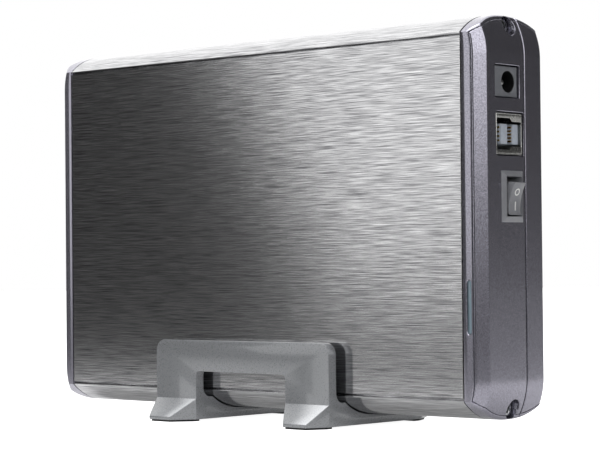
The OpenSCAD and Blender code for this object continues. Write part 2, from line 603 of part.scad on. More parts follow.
finger_ys = [[-5.6, -4.5], [0.05, 1.25], [5.8, 6.9]];
module at_pivot(angle) translate([pivot_x, pivot_z]) rotate(angle) children();
module actuator_arm() place() color([0.72, 0.72, 0.73]) difference() {
    union() {
        rod_y(8.2, [-5.8, 7.2], pivot_x, pivot_z);
        for (y = finger_ys) along_y(y[0], y[1]) at_pivot(park_angle)
            polygon([[5, -6], [36, -3], [37, -2], [37, 2], [36, 3], [5, 6]]);
        // fork that holds the coil
        along_y(-0.3, 1.5) at_pivot(coil_angle) for (s = [0, 1]) mirror([0, s])
            polygon([[5, 0], [26 * cos(17.6), 26 * sin(17.6)], [26 * cos(21.5), 26 * sin(21.5)], [5, 6]]);
    }
    rod_y(5.05, [-7, 8], pivot_x, pivot_z);
    along_y(-0.9, 2.1) at_pivot(coil_angle) sector(12.7, 30, 0, 17.5);
}
suspension_ys = [[-4.5, -4.2], [-0.25, 0.05], [1.25, 1.55], [5.5, 5.8]];
module head_suspensions() place() color([0.80, 0.80, 0.80]) for (y = suspension_ys)
    along_y(y[0], y[1]) at_pivot(park_angle) polygon([[30, -2.4], [50.8, -0.7], [50.8, 0.7], [30, 2.4]]);
slider_ys = [[-4.2, -3.35], [-1.4, -0.25], [1.55, 2.65], [4.6, 5.5]];
module head_sliders() place() color([0.15, 0.15, 0.16]) for (y = slider_ys)
    along_y(y[0], y[1]) at_pivot(park_angle) translate([49, -0.65]) square([1.3, 1.3]);
module voice_coil() place() color([0.75, 0.40, 0.20]) along_y(-0.6, 1.8) at_pivot(coil_angle) difference() {
    sector(13, 26, 0, 17);
    sector(16.5, 22.5, 0, 9);
}
module pivot_bearing() place() color([0.62, 0.62, 0.64]) difference() {
    rod_y(5, [-5.8, 7.2], pivot_x, pivot_z);
    rod_y(2.05, [-7, 8], pivot_x, pivot_z);
}

stand_cradle();
stand_pads();
shell();
front_end_cap();
front_cap_trim();
front_cap_screws();
rear_end_cap();
rear_cap_trim();
rear_cap_screws();
led_lens();
power_led();
drive_tray();
tray_screws();
cap_bracket_screws();
bridge_board();
board_screws();
bridge_chip();
board_capacitors();
board_crystal();
sata_receptacle();
dc_jack();
dc_jack_pin();
dc_jack_spring();
usb_shell();
usb_tongue();
usb_contacts();
switch_housing();
switch_terminals();
switch_wires();
rocker();
drive_base();
drive_cover();
cover_screws();
cover_gasket();
drive_board();
drive_board_chips();
drive_board_screws();
drive_sata_plug();
spindle_motor();
motor_stator();
lower_yoke();
lower_magnet();
upper_magnet();
upper_yoke();
pivot_post();
parking_ramp();
flex_bracket();
flex_ribbon();
spindle_hub();
platters();
platter_spacer();
platter_clamp();
clamp_screws();
actuator_arm();
head_suspensions();
head_sliders();
voice_coil();
pivot_bearing();
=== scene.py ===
import json
import math
import bpy
import bmesh
import numpy as np
from mathutils import Matrix, Vector
from mathutils.geometry import tessellate_polygon


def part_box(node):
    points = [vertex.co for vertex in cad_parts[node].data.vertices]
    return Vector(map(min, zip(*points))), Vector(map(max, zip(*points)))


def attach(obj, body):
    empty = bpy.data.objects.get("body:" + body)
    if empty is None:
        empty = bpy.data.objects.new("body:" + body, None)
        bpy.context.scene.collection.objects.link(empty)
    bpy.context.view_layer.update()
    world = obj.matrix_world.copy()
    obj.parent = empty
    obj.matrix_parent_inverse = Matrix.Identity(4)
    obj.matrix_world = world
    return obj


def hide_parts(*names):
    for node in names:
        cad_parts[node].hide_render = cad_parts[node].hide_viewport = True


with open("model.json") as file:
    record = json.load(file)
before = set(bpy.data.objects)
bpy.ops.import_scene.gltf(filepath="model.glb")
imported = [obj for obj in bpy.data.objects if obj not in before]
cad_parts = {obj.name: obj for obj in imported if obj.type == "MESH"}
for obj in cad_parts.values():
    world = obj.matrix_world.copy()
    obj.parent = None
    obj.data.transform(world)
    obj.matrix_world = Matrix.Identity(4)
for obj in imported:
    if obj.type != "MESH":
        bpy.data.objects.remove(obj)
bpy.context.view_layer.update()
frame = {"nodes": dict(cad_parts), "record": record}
nodes = frame["nodes"]
slotOfNode = {part["node"]: part["material_slot"] for part in frame["record"]["subparts"]}

# Pieces are drawn in millimetres from the middle of the shell: x towards the sockets, y through, z up.
shellLow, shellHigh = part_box("shell")
shellMiddle = np.array((shellLow + shellHigh) / 2)
halfLength = (shellHigh.x - shellLow.x) * 500
halfThick = (shellHigh.y - shellLow.y) * 500
crownZ = (shellHigh.z - shellLow.z) * 500
sideRise = 5.8                      # height of the curved narrow side
shoulderZ = crownZ - sideRise


def sideBulge(y, half=None, rise=None):
    # rise of a narrow side above its two creases: rise * (1 - |y / half thickness| ^ 2.6)
    share = np.clip(np.abs(y) / (half or halfThick), 0, 1)
    return (rise or sideRise) * (1 - share ** 2.6)


def nodeBox(node):
    # lowest and highest corner of a CAD node in the drawing's millimetres
    low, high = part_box(node)
    return (np.array(low) - shellMiddle) * 1000, (np.array(high) - shellMiddle) * 1000


# ---- camera, light and floor ----

cameraSet = {
    "azimuth": 42.38,               # degrees to the right of the front
    "elevation": -1.12,
    "roll": -0.54,
    "distance": 665.7,              # mm from the point aimed at
    "aim": (6.08, 0.0, -0.66),
    "lens": 126.03,
}


def makeCamera(settings):
    azimuth, elevation, roll = (math.radians(settings[k]) for k in ("azimuth", "elevation", "roll"))
    back = np.array([math.sin(azimuth) * math.cos(elevation),
                     -math.cos(azimuth) * math.cos(elevation), math.sin(elevation)])
    level = np.array([math.cos(azimuth), math.sin(azimuth), 0])
    up = np.cross(back, level)
    right = math.cos(roll) * level + math.sin(roll) * up
    up = np.cross(back, right)
    place = shellMiddle + (np.array(settings["aim"]) + back * settings["distance"]) / 1000
    data = bpy.data.cameras.new("camera")
    data.lens = settings["lens"]
    data.clip_start = 0.02
    camera = bpy.data.objects.new("camera", data)
    turn = np.eye(4)
    turn[:3, 0], turn[:3, 1], turn[:3, 2], turn[:3, 3] = right, up, back, place
    camera.matrix_world = Matrix(turn.tolist())
    bpy.context.scene.collection.objects.link(camera)
    bpy.context.scene.camera = camera


makeCamera(cameraSet)
bpy.context.scene.view_settings.view_transform = "Standard"
print("camera made")


def linear(hexColour, alpha=1.0):
    # sRGB hex to the linear values that the shaders take
    parts = np.array([int(hexColour[i:i + 2], 16) for i in (1, 3, 5)]) / 255
    parts = np.where(parts <= 0.04045, parts / 12.92, ((parts + 0.055) / 1.055) ** 2.4)
    return (*parts.tolist(), alpha)


def add(tree, kind, settings=None, links=None):
    # one shader node, with its settings or socket values, and what feeds its sockets
    made = tree.nodes.new(kind)
    for name, value in (settings or {}).items():
        if isinstance(name, str) and hasattr(made, name):
            setattr(made, name, value)
        else:
            made.inputs[name].default_value = value
    for name, source in (links or {}).items():
        tree.links.new(source, made.inputs[name])
    return made


def newMaterial(name):
    made = bpy.data.materials.new(name)
    made.use_nodes = True
    made.node_tree.nodes.clear()
    return made


def maths(tree, operation, *values):
    # a math node; each value is a number or the socket that feeds it
    made = add(tree, "ShaderNodeMath", {"operation": operation})
    for number, value in enumerate(values):
        if isinstance(value, (int, float)):
            made.inputs[number].default_value = value
        else:
            tree.links.new(value, made.inputs[number])
    return made.outputs[0]


def spread(tree, value, low, high, fromLow=0.3, fromHigh=0.7, smooth=False):
    # carries a span of the value over to low..high and stops at both ends
    limits = {"From Min": fromLow, "From Max": fromHigh, "To Min": low, "To Max": high}
    shape = {"interpolation_type": "SMOOTHSTEP" if smooth else "LINEAR"}
    return add(tree, "ShaderNodeMapRange", {**shape, **limits}, {"Value": value}).outputs[0]


def bearing(tree, axes):
    # azimuth of a direction or place: 0 in front of the flat face, positive to its left
    return maths(tree, "ARCTAN2", maths(tree, "MULTIPLY", axes.outputs[0], -1.0),
                 maths(tree, "MULTIPLY", axes.outputs[1], -1.0))


def surface(tree, settings, links):
    shader = add(tree, "ShaderNodeBsdfPrincipled", settings, links)
    add(tree, "ShaderNodeOutputMaterial", links={"Surface": shader.outputs[0]})


# Studio cards: soft-edged patches of light seen in the lacquer and the brushed metal.
# Each has its azimuth range, its elevation range, the softness of both edges, how far it
# leans and its strength.
studio = {
    "dim": 0.06,                    # light from where there is no card
    "cards": [
        ((14, 41.2), (-6, 75), 0.8, 5, 0.44, 1.12),       # tall leaning panel, front left
        ((-76, -34), (3.5, 60), 3.0, 2.5, 0.0, 1.75),     # panel over the camera
        ((62, 92), (48, 74), 6.0, 5, 0.0, 4.5),           # strip up left, for the edges
        ((84, 178), (-6, 85), 6.0, 6, 0.0, 1.25),         # backdrop behind the object's left
        ((-40, 40), (45, 90), 20.0, 10, 0.0, 1.4),        # overhead
        ((-165, -108), (-60, 1), 8.0, 5, 0.0, 0.10),      # grey wall behind the sockets
    ],
}


def makeStudio(settings):
    world = bpy.data.worlds.new("studio")
    bpy.context.scene.world = world
    world.use_nodes = True
    tree = world.node_tree
    tree.nodes.clear()
    where = add(tree, "ShaderNodeTexCoord")
    axes = add(tree, "ShaderNodeSeparateXYZ", links={0: where.outputs["Generated"]})
    azimuth = bearing(tree, axes)
    elevation = maths(tree, "ARCSINE", axes.outputs[2])
    total = settings["dim"]
    for azimuths, elevations, softAcross, softUp, lean, strength in settings["cards"]:
        leaned = maths(tree, "MULTIPLY_ADD", elevation, -lean, azimuth)
        card = strength
        for angle, (low, high), soft in ((leaned, azimuths, softAcross), (elevation, elevations, softUp)):
            for edge, reach in ((low, soft), (high, -soft)):
                below, above = math.radians(edge - reach), math.radians(edge + reach)
                share = spread(tree, angle, 0, 1, below, above, True)
                card = maths(tree, "MULTIPLY", share, card)
        total = maths(tree, "ADD", card, total)
    seen = add(tree, "ShaderNodeLightPath")
    shade = add(tree, "ShaderNodeMix", {"data_type": "FLOAT", "B": 1.0},
                {"Factor": seen.outputs["Is Camera Ray"], "A": total})
    sky = add(tree, "ShaderNodeBackground", {"Color": (1, 1, 1, 1)}, {"Strength": shade.outputs[0]})
    add(tree, "ShaderNodeOutputWorld", links={"Surface": sky.outputs[0]})


lampSet = {"size": (0.9, 0.7), "watts": 5.0, "place": (-0.15, -0.25, 1.1), "tilt": (13, -8)}


def makeLamp(settings):
    # a soft box over the object gives the contact shadow
    data = bpy.data.lights.new("softbox", "AREA")
    data.shape = "RECTANGLE"
    data.size, data.size_y = settings["size"]
    data.energy = settings["watts"]
    lamp = bpy.data.objects.new("softbox", data)
    lamp.location = settings["place"]
    lamp.rotation_euler = [math.radians(angle) for angle in (*settings["tilt"], 0)]
    lamp.visible_camera = False
    bpy.context.scene.collection.objects.link(lamp)


# White card that stays as white as the backdrop to the camera; in reflections and in the light that it gives
# back it is a sheet with painted shade that darkens it towards the front and the right, a painted glow behind
# the object and a painted spill of light.
floorSet = {
    "reach": 3.0,
    "rise": (-0.26, -0.02),         # y from where to where the tone rises
    "tones": (0.05, 0.7),
    "right": (0.1, 0.3),            # x from where to where the tone falls again
    "rightShadeShare": 0.4,               # share of it that is left
    "spillTurn": (14, 41),          # azimuths of the spill
    "spillSoft": 3,
    "spillFrom": (0.25, 0.45),      # distance in front from where to where it comes up
    "spill": 0.12,
    # painted glow of the floor behind the object, seen only in reflections and in the light it gives back
    "paintedBackGlow": 0.25,
    "glow": 0.93,
    "fibreScale": 900.0,
}


def makeFloor(settings):
    s = settings
    mesh = bpy.data.meshes.new("floor")
    corners = [(x * s["reach"], y * s["reach"], 0) for x, y in ((-1, -1), (1, -1), (1, 1), (-1, 1))]
    mesh.from_pydata(corners, [], [(0, 1, 2, 3)])
    floor = bpy.data.objects.new("floor", mesh)
    bpy.context.scene.collection.objects.link(floor)
    card = newMaterial("floor card with painted shade and glow")
    tree = card.node_tree
    where = add(tree, "ShaderNodeTexCoord")
    axes = add(tree, "ShaderNodeSeparateXYZ", links={0: where.outputs["Object"]})
    # painted shade: the floor's colour is dark at the front, rises towards the back and falls again to the
    # right, for what the object reflects and the light the floor gives back
    paintedShadeTone = spread(tree, axes.outputs[1], *s["tones"], *s["rise"], True)
    paintedShadeTone = maths(tree, "MULTIPLY", paintedShadeTone, spread(tree, axes.outputs[0], 1, s["rightShadeShare"], *s["right"]))
    fibre = add(tree, "ShaderNodeTexNoise", {"Scale": s["fibreScale"], "Detail": 2.0},
                {"Vector": where.outputs["Object"]})
    relief = add(tree, "ShaderNodeBump", {"Strength": 0.05, "Distance": 0.0001},
                 {"Height": fibre.outputs["Fac"]})
    # painted spill of the leaning panel: a glowing wedge of the floor, a painted pool of light that only
    # reflections and light see
    turn = bearing(tree, axes)
    (low, high), soft = s["spillTurn"], s["spillSoft"]
    spill = spread(tree, turn, 0, s["spill"], math.radians(low - soft), math.radians(low + soft))
    side = spread(tree, turn, 1, 0, math.radians(high - soft), math.radians(high + soft))
    front = maths(tree, "MULTIPLY", axes.outputs[1], -1.0)
    spill = maths(tree, "MULTIPLY", maths(tree, "MULTIPLY", spill, side),
                  spread(tree, front, 0, 1, *s["spillFrom"]))
    # painted glow: out of the camera's sight the floor glows with its painted tone behind the object and with
    # the painted spill
    paintedFloorLight = maths(tree, "MULTIPLY_ADD", paintedShadeTone, s["paintedBackGlow"], spill)
    seen = add(tree, "ShaderNodeLightPath")
    glow = add(tree, "ShaderNodeMix", {"data_type": "FLOAT", "B": s["glow"]},
               {"Factor": seen.outputs["Is Camera Ray"], "A": paintedFloorLight})
    surface(tree, {"Roughness": 0.9, "Specular IOR Level": 0.0, "Emission Color": (1, 1, 1, 1)},
            {"Base Color": paintedShadeTone, "Emission Strength": glow.outputs[0], "Normal": relief.outputs[0]})
    mesh.materials.append(card)


makeStudio(studio)
makeLamp(lampSet)
makeFloor(floorSet)
print("studio made")

# ---- finishes ----


def patternAt(tree, sizeMm, stretch=(1, 1, 1), detail=3.0, rough=0.55, seed=0.0):
    # noise whose grains are sizeMm across, drawn out along each axis by stretch
    where = add(tree, "ShaderNodeTexCoord")
    drawn = add(tree, "ShaderNodeMapping",
                {"Scale": tuple(1 / s for s in stretch), "Location": (seed, seed * 0.7, seed * 0.3)},
                {"Vector": where.outputs["Object"]})
    return add(tree, "ShaderNodeTexNoise", {"Scale": 1000 / sizeMm, "Detail": detail, "Roughness": rough},
               {"Vector": drawn.outputs[0]}).outputs["Fac"]


def blendColours(tree, share, first, second):
    mix = add(tree, "ShaderNodeMix", {"data_type": "RGBA"}, {"Factor": share})
    mix.inputs["A"].default_value = linear(first)
    mix.inputs["B"].default_value = linear(second)
    return mix.outputs["Result"]


def softEdges(tree, radiusMm):
    return add(tree, "ShaderNodeBevel", {"samples": 4, "Radius": radiusMm / 1000}).outputs[0]


def makeFinish(name, settings):
    # a general surface: two tones mixed by patches, grain in the roughness and in the relief
    made = newMaterial(name)
    tree = made.node_tree
    patches = patternAt(tree, settings["patchMm"], settings.get("stretch", (1, 1, 1)), 4.0, 0.6, 1.3)
    grain = patternAt(tree, settings["grainMm"], settings.get("stretch", (1, 1, 1)), 2.0, 0.5, 4.1)
    colour = blendColours(tree, spread(tree, patches, 0, 1), settings["colour"], settings["second"])
    low, high = settings["roughness"]
    roughness = spread(tree, grain, low, high)
    bumpLinks = {"Height": grain}
    if settings.get("edgeMm"):
        bumpLinks["Normal"] = softEdges(tree, settings["edgeMm"])
    height = settings["grainMm"] / 1000 * 0.3
    relief = add(tree, "ShaderNodeBump",
                 {"Strength": settings.get("relief", 0.3), "Distance": height}, bumpLinks)
    fixed = {"Metallic": settings.get("metallic", 0.0)}
    if fixed["Metallic"] < 0.5:
        fixed["IOR"] = settings.get("ior", 1.5)
    for socket, key in (("Coat Weight", "coat"), ("Coat Roughness", "coatRoughness"),
                        ("Sheen Weight", "sheen"), ("Transmission Weight", "clear")):
        if key in settings:
            fixed[socket] = settings[key]
    surface(tree, fixed, {"Base Color": colour, "Roughness": roughness, "Normal": relief.outputs[0]})
    return made


# Brushed and anodised aluminium: belt-ground lines along the extrusion spread every
# reflection up and down but hardly sideways.
brushedSet = {
    "tones": ("#7a7a7d", "#ececed"),
    "lineMm": 0.23,                 # the real lines are nearer 0.05 mm
    "lineLength": 48,               # times their width
    "bandWidth": 5,                 # times a line's width
    "bandShare": 0.07,
    "contrast": (0.35, 0.72),       # the narrower, the stronger
    "roughness": (0.11, 0.16),
    "anisotropic": 0.84,
    "relief": (0.35, 0.00002),      # strength and height in metres
}


def brushedAluminium(settings):
    s = settings
    made = newMaterial("brushed anodised aluminium")
    tree = made.node_tree
    length = s["lineLength"]
    lines = patternAt(tree, s["lineMm"], (length, 1, 1), 2.0, 0.6, 2.0)
    bands = patternAt(tree, s["lineMm"] * s["bandWidth"], (length * 0.6, 1, 1), 2.0, 0.5, 7.0)
    mixed = maths(tree, "MULTIPLY_ADD", bands, s["bandShare"], lines)
    colour = blendColours(tree, spread(tree, mixed, 0, 1, *s["contrast"]), *s["tones"])
    roughness = spread(tree, lines, *reversed(s["roughness"]))
    strength, height = s["relief"]
    relief = add(tree, "ShaderNodeBump", {"Strength": strength, "Distance": height}, {"Height": lines})
    grainWay = add(tree, "ShaderNodeTangent", {"direction_type": "RADIAL", "axis": "X"})
    surface(tree, {"Metallic": 1.0, "Anisotropic": s["anisotropic"]},
            {"Base Color": colour, "Roughness": roughness, "Normal": relief.outputs[0],
             "Tangent": grainWay.outputs[0]})
    return made


# One entry a material: how it is made and what that does to the eye.
finishSet = {
    # ABS under a metallic gunmetal lacquer: fine flake below a smooth clear coat
    "cap_plastic": dict(colour="#8a8893", second="#b5b3c0", patchMm=0.4, grainMm=0.2,
        roughness=(0.17, 0.21), metallic=0.9, coat=0.5, coatRoughness=0.06, relief=0.012, edgeMm=0.16),
    # ABS sprayed satin grey: soft sheen and a faint orange peel
    "stand_plastic": dict(colour="#838588", second="#8f9194", patchMm=0.5, grainMm=0.3,
        roughness=(0.26, 0.32), metallic=0.35, coat=1.0, coatRoughness=0.06, relief=0.01),
    # moulded nitrile rubber, matt with a powdery bloom
    "pad_rubber": dict(colour="#161617", second="#212122", patchMm=3, grainMm=0.25, roughness=(0.75, 0.95),
        relief=0.4, sheen=0.2),
    # zinc plated steel, turned and tumbled
    "screw_steel": dict(colour="#b9bbbd", second="#d6d8d8", patchMm=0.8, grainMm=0.12,
        roughness=(0.12, 0.28), metallic=1.0, relief=0.08),
    # moulded water-clear epoxy with a diffusing filler
    "led_epoxy": dict(colour="#e9ebe2", second="#f4f5ee", patchMm=2, grainMm=0.2, roughness=(0.12, 0.2),
        clear=0.4),
    # hot-dip galvanised sheet, cold rolled: a faint spangle
    "tray_steel": dict(colour="#9ea1a1", second="#b9bbba", patchMm=6, grainMm=0.5, roughness=(0.28, 0.42),
        metallic=1.0, relief=0.06, edgeMm=0.2),
    # transfer moulded epoxy, dull with a sanded grain
    "chip_resin": dict(colour="#17181a", second="#1e1f21", patchMm=1.5, grainMm=0.15, roughness=(0.45, 0.6),
        relief=0.3),
    # heat-shrunk vinyl sleeve, glossy and slightly rippled
    "capacitor_sleeve": dict(colour="#1c1f2a", second="#272b38", patchMm=2, grainMm=0.9,
        roughness=(0.18, 0.26), relief=0.2, coat=0.3, coatRoughness=0.1),
    # nickel plated can, drawn
    "plated_can": dict(colour="#bdbdbd", second="#cfcfce", patchMm=1.2, grainMm=0.2, roughness=(0.12, 0.22),
        metallic=1.0, relief=0.05),
    # glass-filled nylon: fibres leave a slightly streaked matt skin
    "connector_black": dict(colour="#121213", second="#1d1d1e", patchMm=2, grainMm=0.18, stretch=(1, 1, 5),
        roughness=(0.4, 0.6), relief=0.25),
    # polyamide moulded in grey, spark-eroded grain
    "socket_grey": dict(colour="#7a7c82", second="#86888d", patchMm=2.2, grainMm=0.22,
        roughness=(0.34, 0.48), relief=0.3, edgeMm=0.12),
    # tin plated phosphor bronze stamping, bright on the rolled faces
    "socket_plate": dict(colour="#c9c9c6", second="#dcdcd8", patchMm=1.4, grainMm=0.14, stretch=(1, 1, 3),
        roughness=(0.16, 0.3), metallic=1.0, relief=0.1, edgeMm=0.1),
    # liquid crystal polymer moulded pale blue
    "insulator_pale": dict(colour="#bcc5d2", second="#ccd3dd", patchMm=1.2, grainMm=0.15,
        roughness=(0.3, 0.42), relief=0.15, edgeMm=0.1),
    # hard gold flash over nickel, burnished where the plug wipes
    "contact_gold": dict(colour="#c8a45a", second="#e0c07c", patchMm=0.7, grainMm=0.1, stretch=(6, 1, 1),
        roughness=(0.12, 0.24), metallic=1.0, relief=0.06),
    # polyamide moulded dark grey with a satin grain
    "switch_grey": dict(colour="#88898e", second="#939499", patchMm=2.5, grainMm=0.2, roughness=(0.3, 0.42),
        relief=0.2, coat=0.15, coatRoughness=0.25, edgeMm=0.15),
    # white enamel pressed into the marks
    "mark_white": dict(colour="#e8e8e6", second="#f4f4f2", patchMm=0.8, grainMm=0.1, roughness=(0.4, 0.5),
        relief=0.1),
    # extruded vinyl insulation
    "wire_red": dict(colour="#7c1512", second="#8e1b17", patchMm=3, grainMm=0.3, roughness=(0.3, 0.42),
        relief=0.1),
    # pressure die-cast aluminium: a blotchy chilled skin with fine pores
    "drive_casting": dict(colour="#8e9091", second="#a8aaaa", patchMm=4, grainMm=0.35,
        roughness=(0.34, 0.5), metallic=1.0, relief=0.25, edgeMm=0.25),
    # stamped stainless with a directional mill finish
    "cover_steel": dict(colour="#b4b5b6", second="#c6c7c7", patchMm=7, grainMm=0.14, stretch=(30, 1, 1),
        roughness=(0.2, 0.3), metallic=1.0, relief=0.08, edgeMm=0.25),
    # die-cut fluoroelastomer
    "gasket_rubber": dict(colour="#141415", second="#1d1d1e", patchMm=2, grainMm=0.3, roughness=(0.6, 0.8),
        relief=0.3),
    # sintered magnet under electroless nickel
    "magnet_nickel": dict(colour="#a3a29e", second="#bab9b4", patchMm=2.4, grainMm=0.3,
        roughness=(0.16, 0.3), metallic=1.0, relief=0.1),
    # enamelled copper windings: round turns side by side
    "copper_wire": dict(colour="#a85a30", second="#c67842", patchMm=0.5, grainMm=0.3, stretch=(1, 30, 1),
        roughness=(0.2, 0.32), metallic=1.0, relief=0.6),
    # injection moulded natural acetal, waxy
    "ramp_acetal": dict(colour="#dcd8c8", second="#e6e3d6", patchMm=3, grainMm=0.25, roughness=(0.28, 0.4),
        relief=0.1),
    # amber polyimide film with copper tracks showing through
    "flex_polyimide": dict(colour="#a8631c", second="#c98530", patchMm=1.2, grainMm=0.5, stretch=(8, 1, 8),
        roughness=(0.2, 0.3), coat=0.4, coatRoughness=0.1, relief=0.1),
    # glass disc, sputtered and polished until only dust-fine texture is left
    "platter_glass": dict(colour="#cfcfd2", second="#d6d6d8", patchMm=30, grainMm=0.4,
        roughness=(0.02, 0.04), metallic=1.0, relief=0.005),
    # extruded and milled aluminium with cutter marks
    "arm_aluminium": dict(colour="#b0b1b3", second="#c2c3c4", patchMm=3, grainMm=0.25, stretch=(1, 1, 6),
        roughness=(0.2, 0.34), metallic=1.0, relief=0.12, edgeMm=0.15),
    # ground alumina-titanium carbide
    "slider_ceramic": dict(colour="#1c1c1f", second="#29292c", patchMm=0.4, grainMm=0.08,
        roughness=(0.15, 0.3), relief=0.1),
}

# Glass-epoxy board under green solder mask: the woven cloth and etched tracks show as relief.
boardSet = {
    "mask": ("#0d3a26", "#14502f"),
    "weaveMm": 0.6,
    "trackMm": 1.3,
    "trackEdge": (0.03, 0.05),
    "roughness": (0.26, 0.38),
}


def solderMask(settings):
    made = newMaterial("solder masked laminate")
    tree = made.node_tree
    where = add(tree, "ShaderNodeTexCoord")
    tracks = add(tree, "ShaderNodeTexVoronoi",
                 {"distance": "CHEBYCHEV", "feature": "F1", "Scale": 500 / settings["trackMm"],
                  "Randomness": 0.75},
                 {"Vector": where.outputs["Object"]}).outputs["Distance"]
    copper = spread(tree, maths(tree, "PINGPONG", tracks, 0.09), 0, 1, *settings["trackEdge"])
    colour = blendColours(tree, copper, *settings["mask"])
    grain = patternAt(tree, settings["weaveMm"], detail=1.0)
    roughness = spread(tree, grain, *settings["roughness"])
    height = maths(tree, "MULTIPLY_ADD", grain, 0.3, copper)
    relief = add(tree, "ShaderNodeBump", {"Strength": 0.5, "Distance": 0.00004}, {"Height": height})
    surface(tree, {"IOR": 1.55}, {"Base Color": colour, "Roughness": roughness, "Normal": relief.outputs[0]})
    return made


# Clear acrylic light bar, unlit: blue-grey body that pales across its width towards higher x.
lensSet = {"deep": "#16323c", "pale": "#9fb4c0", "roughness": (0.08, 0.16), "spanMm": 1.4, "streakMm": 0.5}


def tintedAcrylic(settings, lowX):
    made = newMaterial("moulded tinted acrylic")
    tree = made.node_tree
    where = add(tree, "ShaderNodeTexCoord")
    axes = add(tree, "ShaderNodeSeparateXYZ", links={0: where.outputs["Object"]})
    across = spread(tree, axes.outputs[0], 0, 1, lowX, lowX + settings["spanMm"] / 1000)
    streaks = patternAt(tree, settings["streakMm"], (1, 1, 6), 2.0)
    share = add(tree, "ShaderNodeMath", {"operation": "ADD", "use_clamp": True},
                {0: across, 1: maths(tree, "MULTIPLY_ADD", streaks, 0.5, -0.2)})
    colour = blendColours(tree, share.outputs[0], settings["deep"], settings["pale"])
    roughness = spread(tree, streaks, *settings["roughness"])
    surface(tree, {"IOR": 1.49, "Transmission Weight": 0.25, "Coat Weight": 0.3},
            {"Base Color": colour, "Roughness": roughness})
    return made


materials = {slot: makeFinish(slot.replace("_", " "), settings) for slot, settings in finishSet.items()}
materials["shell_aluminium"] = brushedAluminium(brushedSet)
materials["board_laminate"] = solderMask(boardSet)
materials["lens_acrylic"] = tintedAcrylic(lensSet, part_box("led_lens")[0].x)
for nodeName, slotName in slotOfNode.items():
    nodeMesh = nodes[nodeName].data
    nodeMesh.materials.clear()
    nodeMesh.materials.append(materials[slotName])
print("finishes made:", len(materials))

# ---- mesh tools ----


def gridFaces(rows, columns, start=0, wrap=True):
    # four-sided faces between neighbouring rows of points, closed round when wrap is set
    row, column = np.meshgrid(np.arange(rows - 1), np.arange(columns if wrap else columns - 1), indexing="ij")
    following = (column + 1) % columns
    corners = [row * columns + column, row * columns + following,
               (row + 1) * columns + following, (row + 1) * columns + column]
    return (np.stack(corners, -1).reshape(-1, 4) + start).tolist()


def loft(rings, ends=(True, True)):
    # rings of equal length joined in order, each end closed by one flat face
    rings = [np.asarray(ring, float) for ring in rings]
    columns = len(rings[0])
    faces = gridFaces(len(rings), columns)
    if ends[0]:
        faces.append(list(range(columns)))
    if ends[1]:
        last = (len(rings) - 1) * columns
        faces.append([last + i for i in range(columns)])
    return np.concatenate(rings), faces


def joined(*solids):
    # several point-and-face pairs as one
    points, faces, count = [], [], 0
    for solidPoints, solidFaces in solids:
        points.append(np.asarray(solidPoints, float))
        faces += [[i + count for i in face] for face in solidFaces]
        count += len(solidPoints)
    return np.concatenate(points), faces


def makeMesh(name, solid):
    # millimetres to metres in the row frame, doubles merged, faces turned outwards
    points, faces = solid
    mesh = bpy.data.meshes.new(name)
    mesh.from_pydata((np.asarray(points) / 1000 + shellMiddle).tolist(), [], faces)
    tidy = bmesh.new()
    tidy.from_mesh(mesh)
    bmesh.ops.remove_doubles(tidy, verts=tidy.verts, dist=2e-7)
    bmesh.ops.dissolve_degenerate(tidy, edges=tidy.edges, dist=1e-7)
    bmesh.ops.recalc_face_normals(tidy, faces=tidy.faces)
    tidy.to_mesh(mesh)
    tidy.free()
    made = bpy.data.objects.new(name, mesh)
    bpy.context.scene.collection.objects.link(made)
    return made


def takeApart(piece):
    # a piece back as points in millimetres and faces
    co = np.empty(len(piece.data.vertices) * 3, np.float32)
    piece.data.vertices.foreach_get("co", co)
    points = (co.reshape(-1, 3) - shellMiddle) * 1000
    faces = [list(face.vertices) for face in piece.data.polygons]
    bpy.data.objects.remove(piece)
    return points, faces


def settle(piece):
    # the modifiers' result becomes the piece's own mesh
    bpy.context.view_layer.update()
    result = bpy.data.meshes.new_from_object(piece.evaluated_get(bpy.context.evaluated_depsgraph_get()))
    piece.modifiers.clear()
    piece.data = result
    return piece


def combine(piece, solid, operation):
    # exact Boolean of the piece with one or more closed solids
    tool = makeMesh("tool", solid)
    step = piece.modifiers.new("combine", "BOOLEAN")
    step.operation = operation
    step.solver = "EXACT"
    step.object = tool
    settle(piece)
    bpy.data.objects.remove(tool)
    return piece


def roundEdges(piece, widthMm, segments=2, angle=30):
    step = piece.modifiers.new("round", "BEVEL")
    step.width = widthMm / 1000
    step.segments = segments
    step.limit_method = "ANGLE"
    step.angle_limit = math.radians(angle)
    step.miter_outer = "MITER_ARC"
    step.use_clamp_overlap = True
    return settle(piece)


def finishPiece(piece, slotName, body, replaced=(), sharpAngle=32):
    piece.data.shade_smooth()
    piece.data.set_sharp_from_angle(angle=math.radians(sharpAngle))
    piece.data.materials.clear()
    piece.data.materials.append(materials[slotName])
    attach(piece, body)
    if replaced:
        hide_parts(*replaced)
    print("piece", piece.name, "faces", len(piece.data.polygons))
    return piece


def arc(centre, radius, start, end, steps):
    # points round a circle between two angles in degrees
    angles = np.radians(np.linspace(start, end, steps + 1))
    return np.stack([centre[0] + radius * np.cos(angles), centre[1] + radius * np.sin(angles)], -1)


def roundedBox(width, height, radius, steps=5, centre=(0, 0)):
    # rectangle with rounded corners, anticlockwise
    acrossHalf, upHalf = width / 2 - radius, height / 2 - radius
    corners = [(1, 1, 0), (-1, 1, 90), (-1, -1, 180), (1, -1, 270)]
    return np.concatenate([
        arc((centre[0] + sx * acrossHalf, centre[1] + sy * upHalf), radius, a, a + 90, steps)
        for sx, sy, a in corners])


def inXat(outline, x):
    # an outline in y and z placed at one or many x
    outline = np.asarray(outline, float)
    return np.column_stack([np.broadcast_to(x, len(outline)), outline[:, 0], outline[:, 1]])


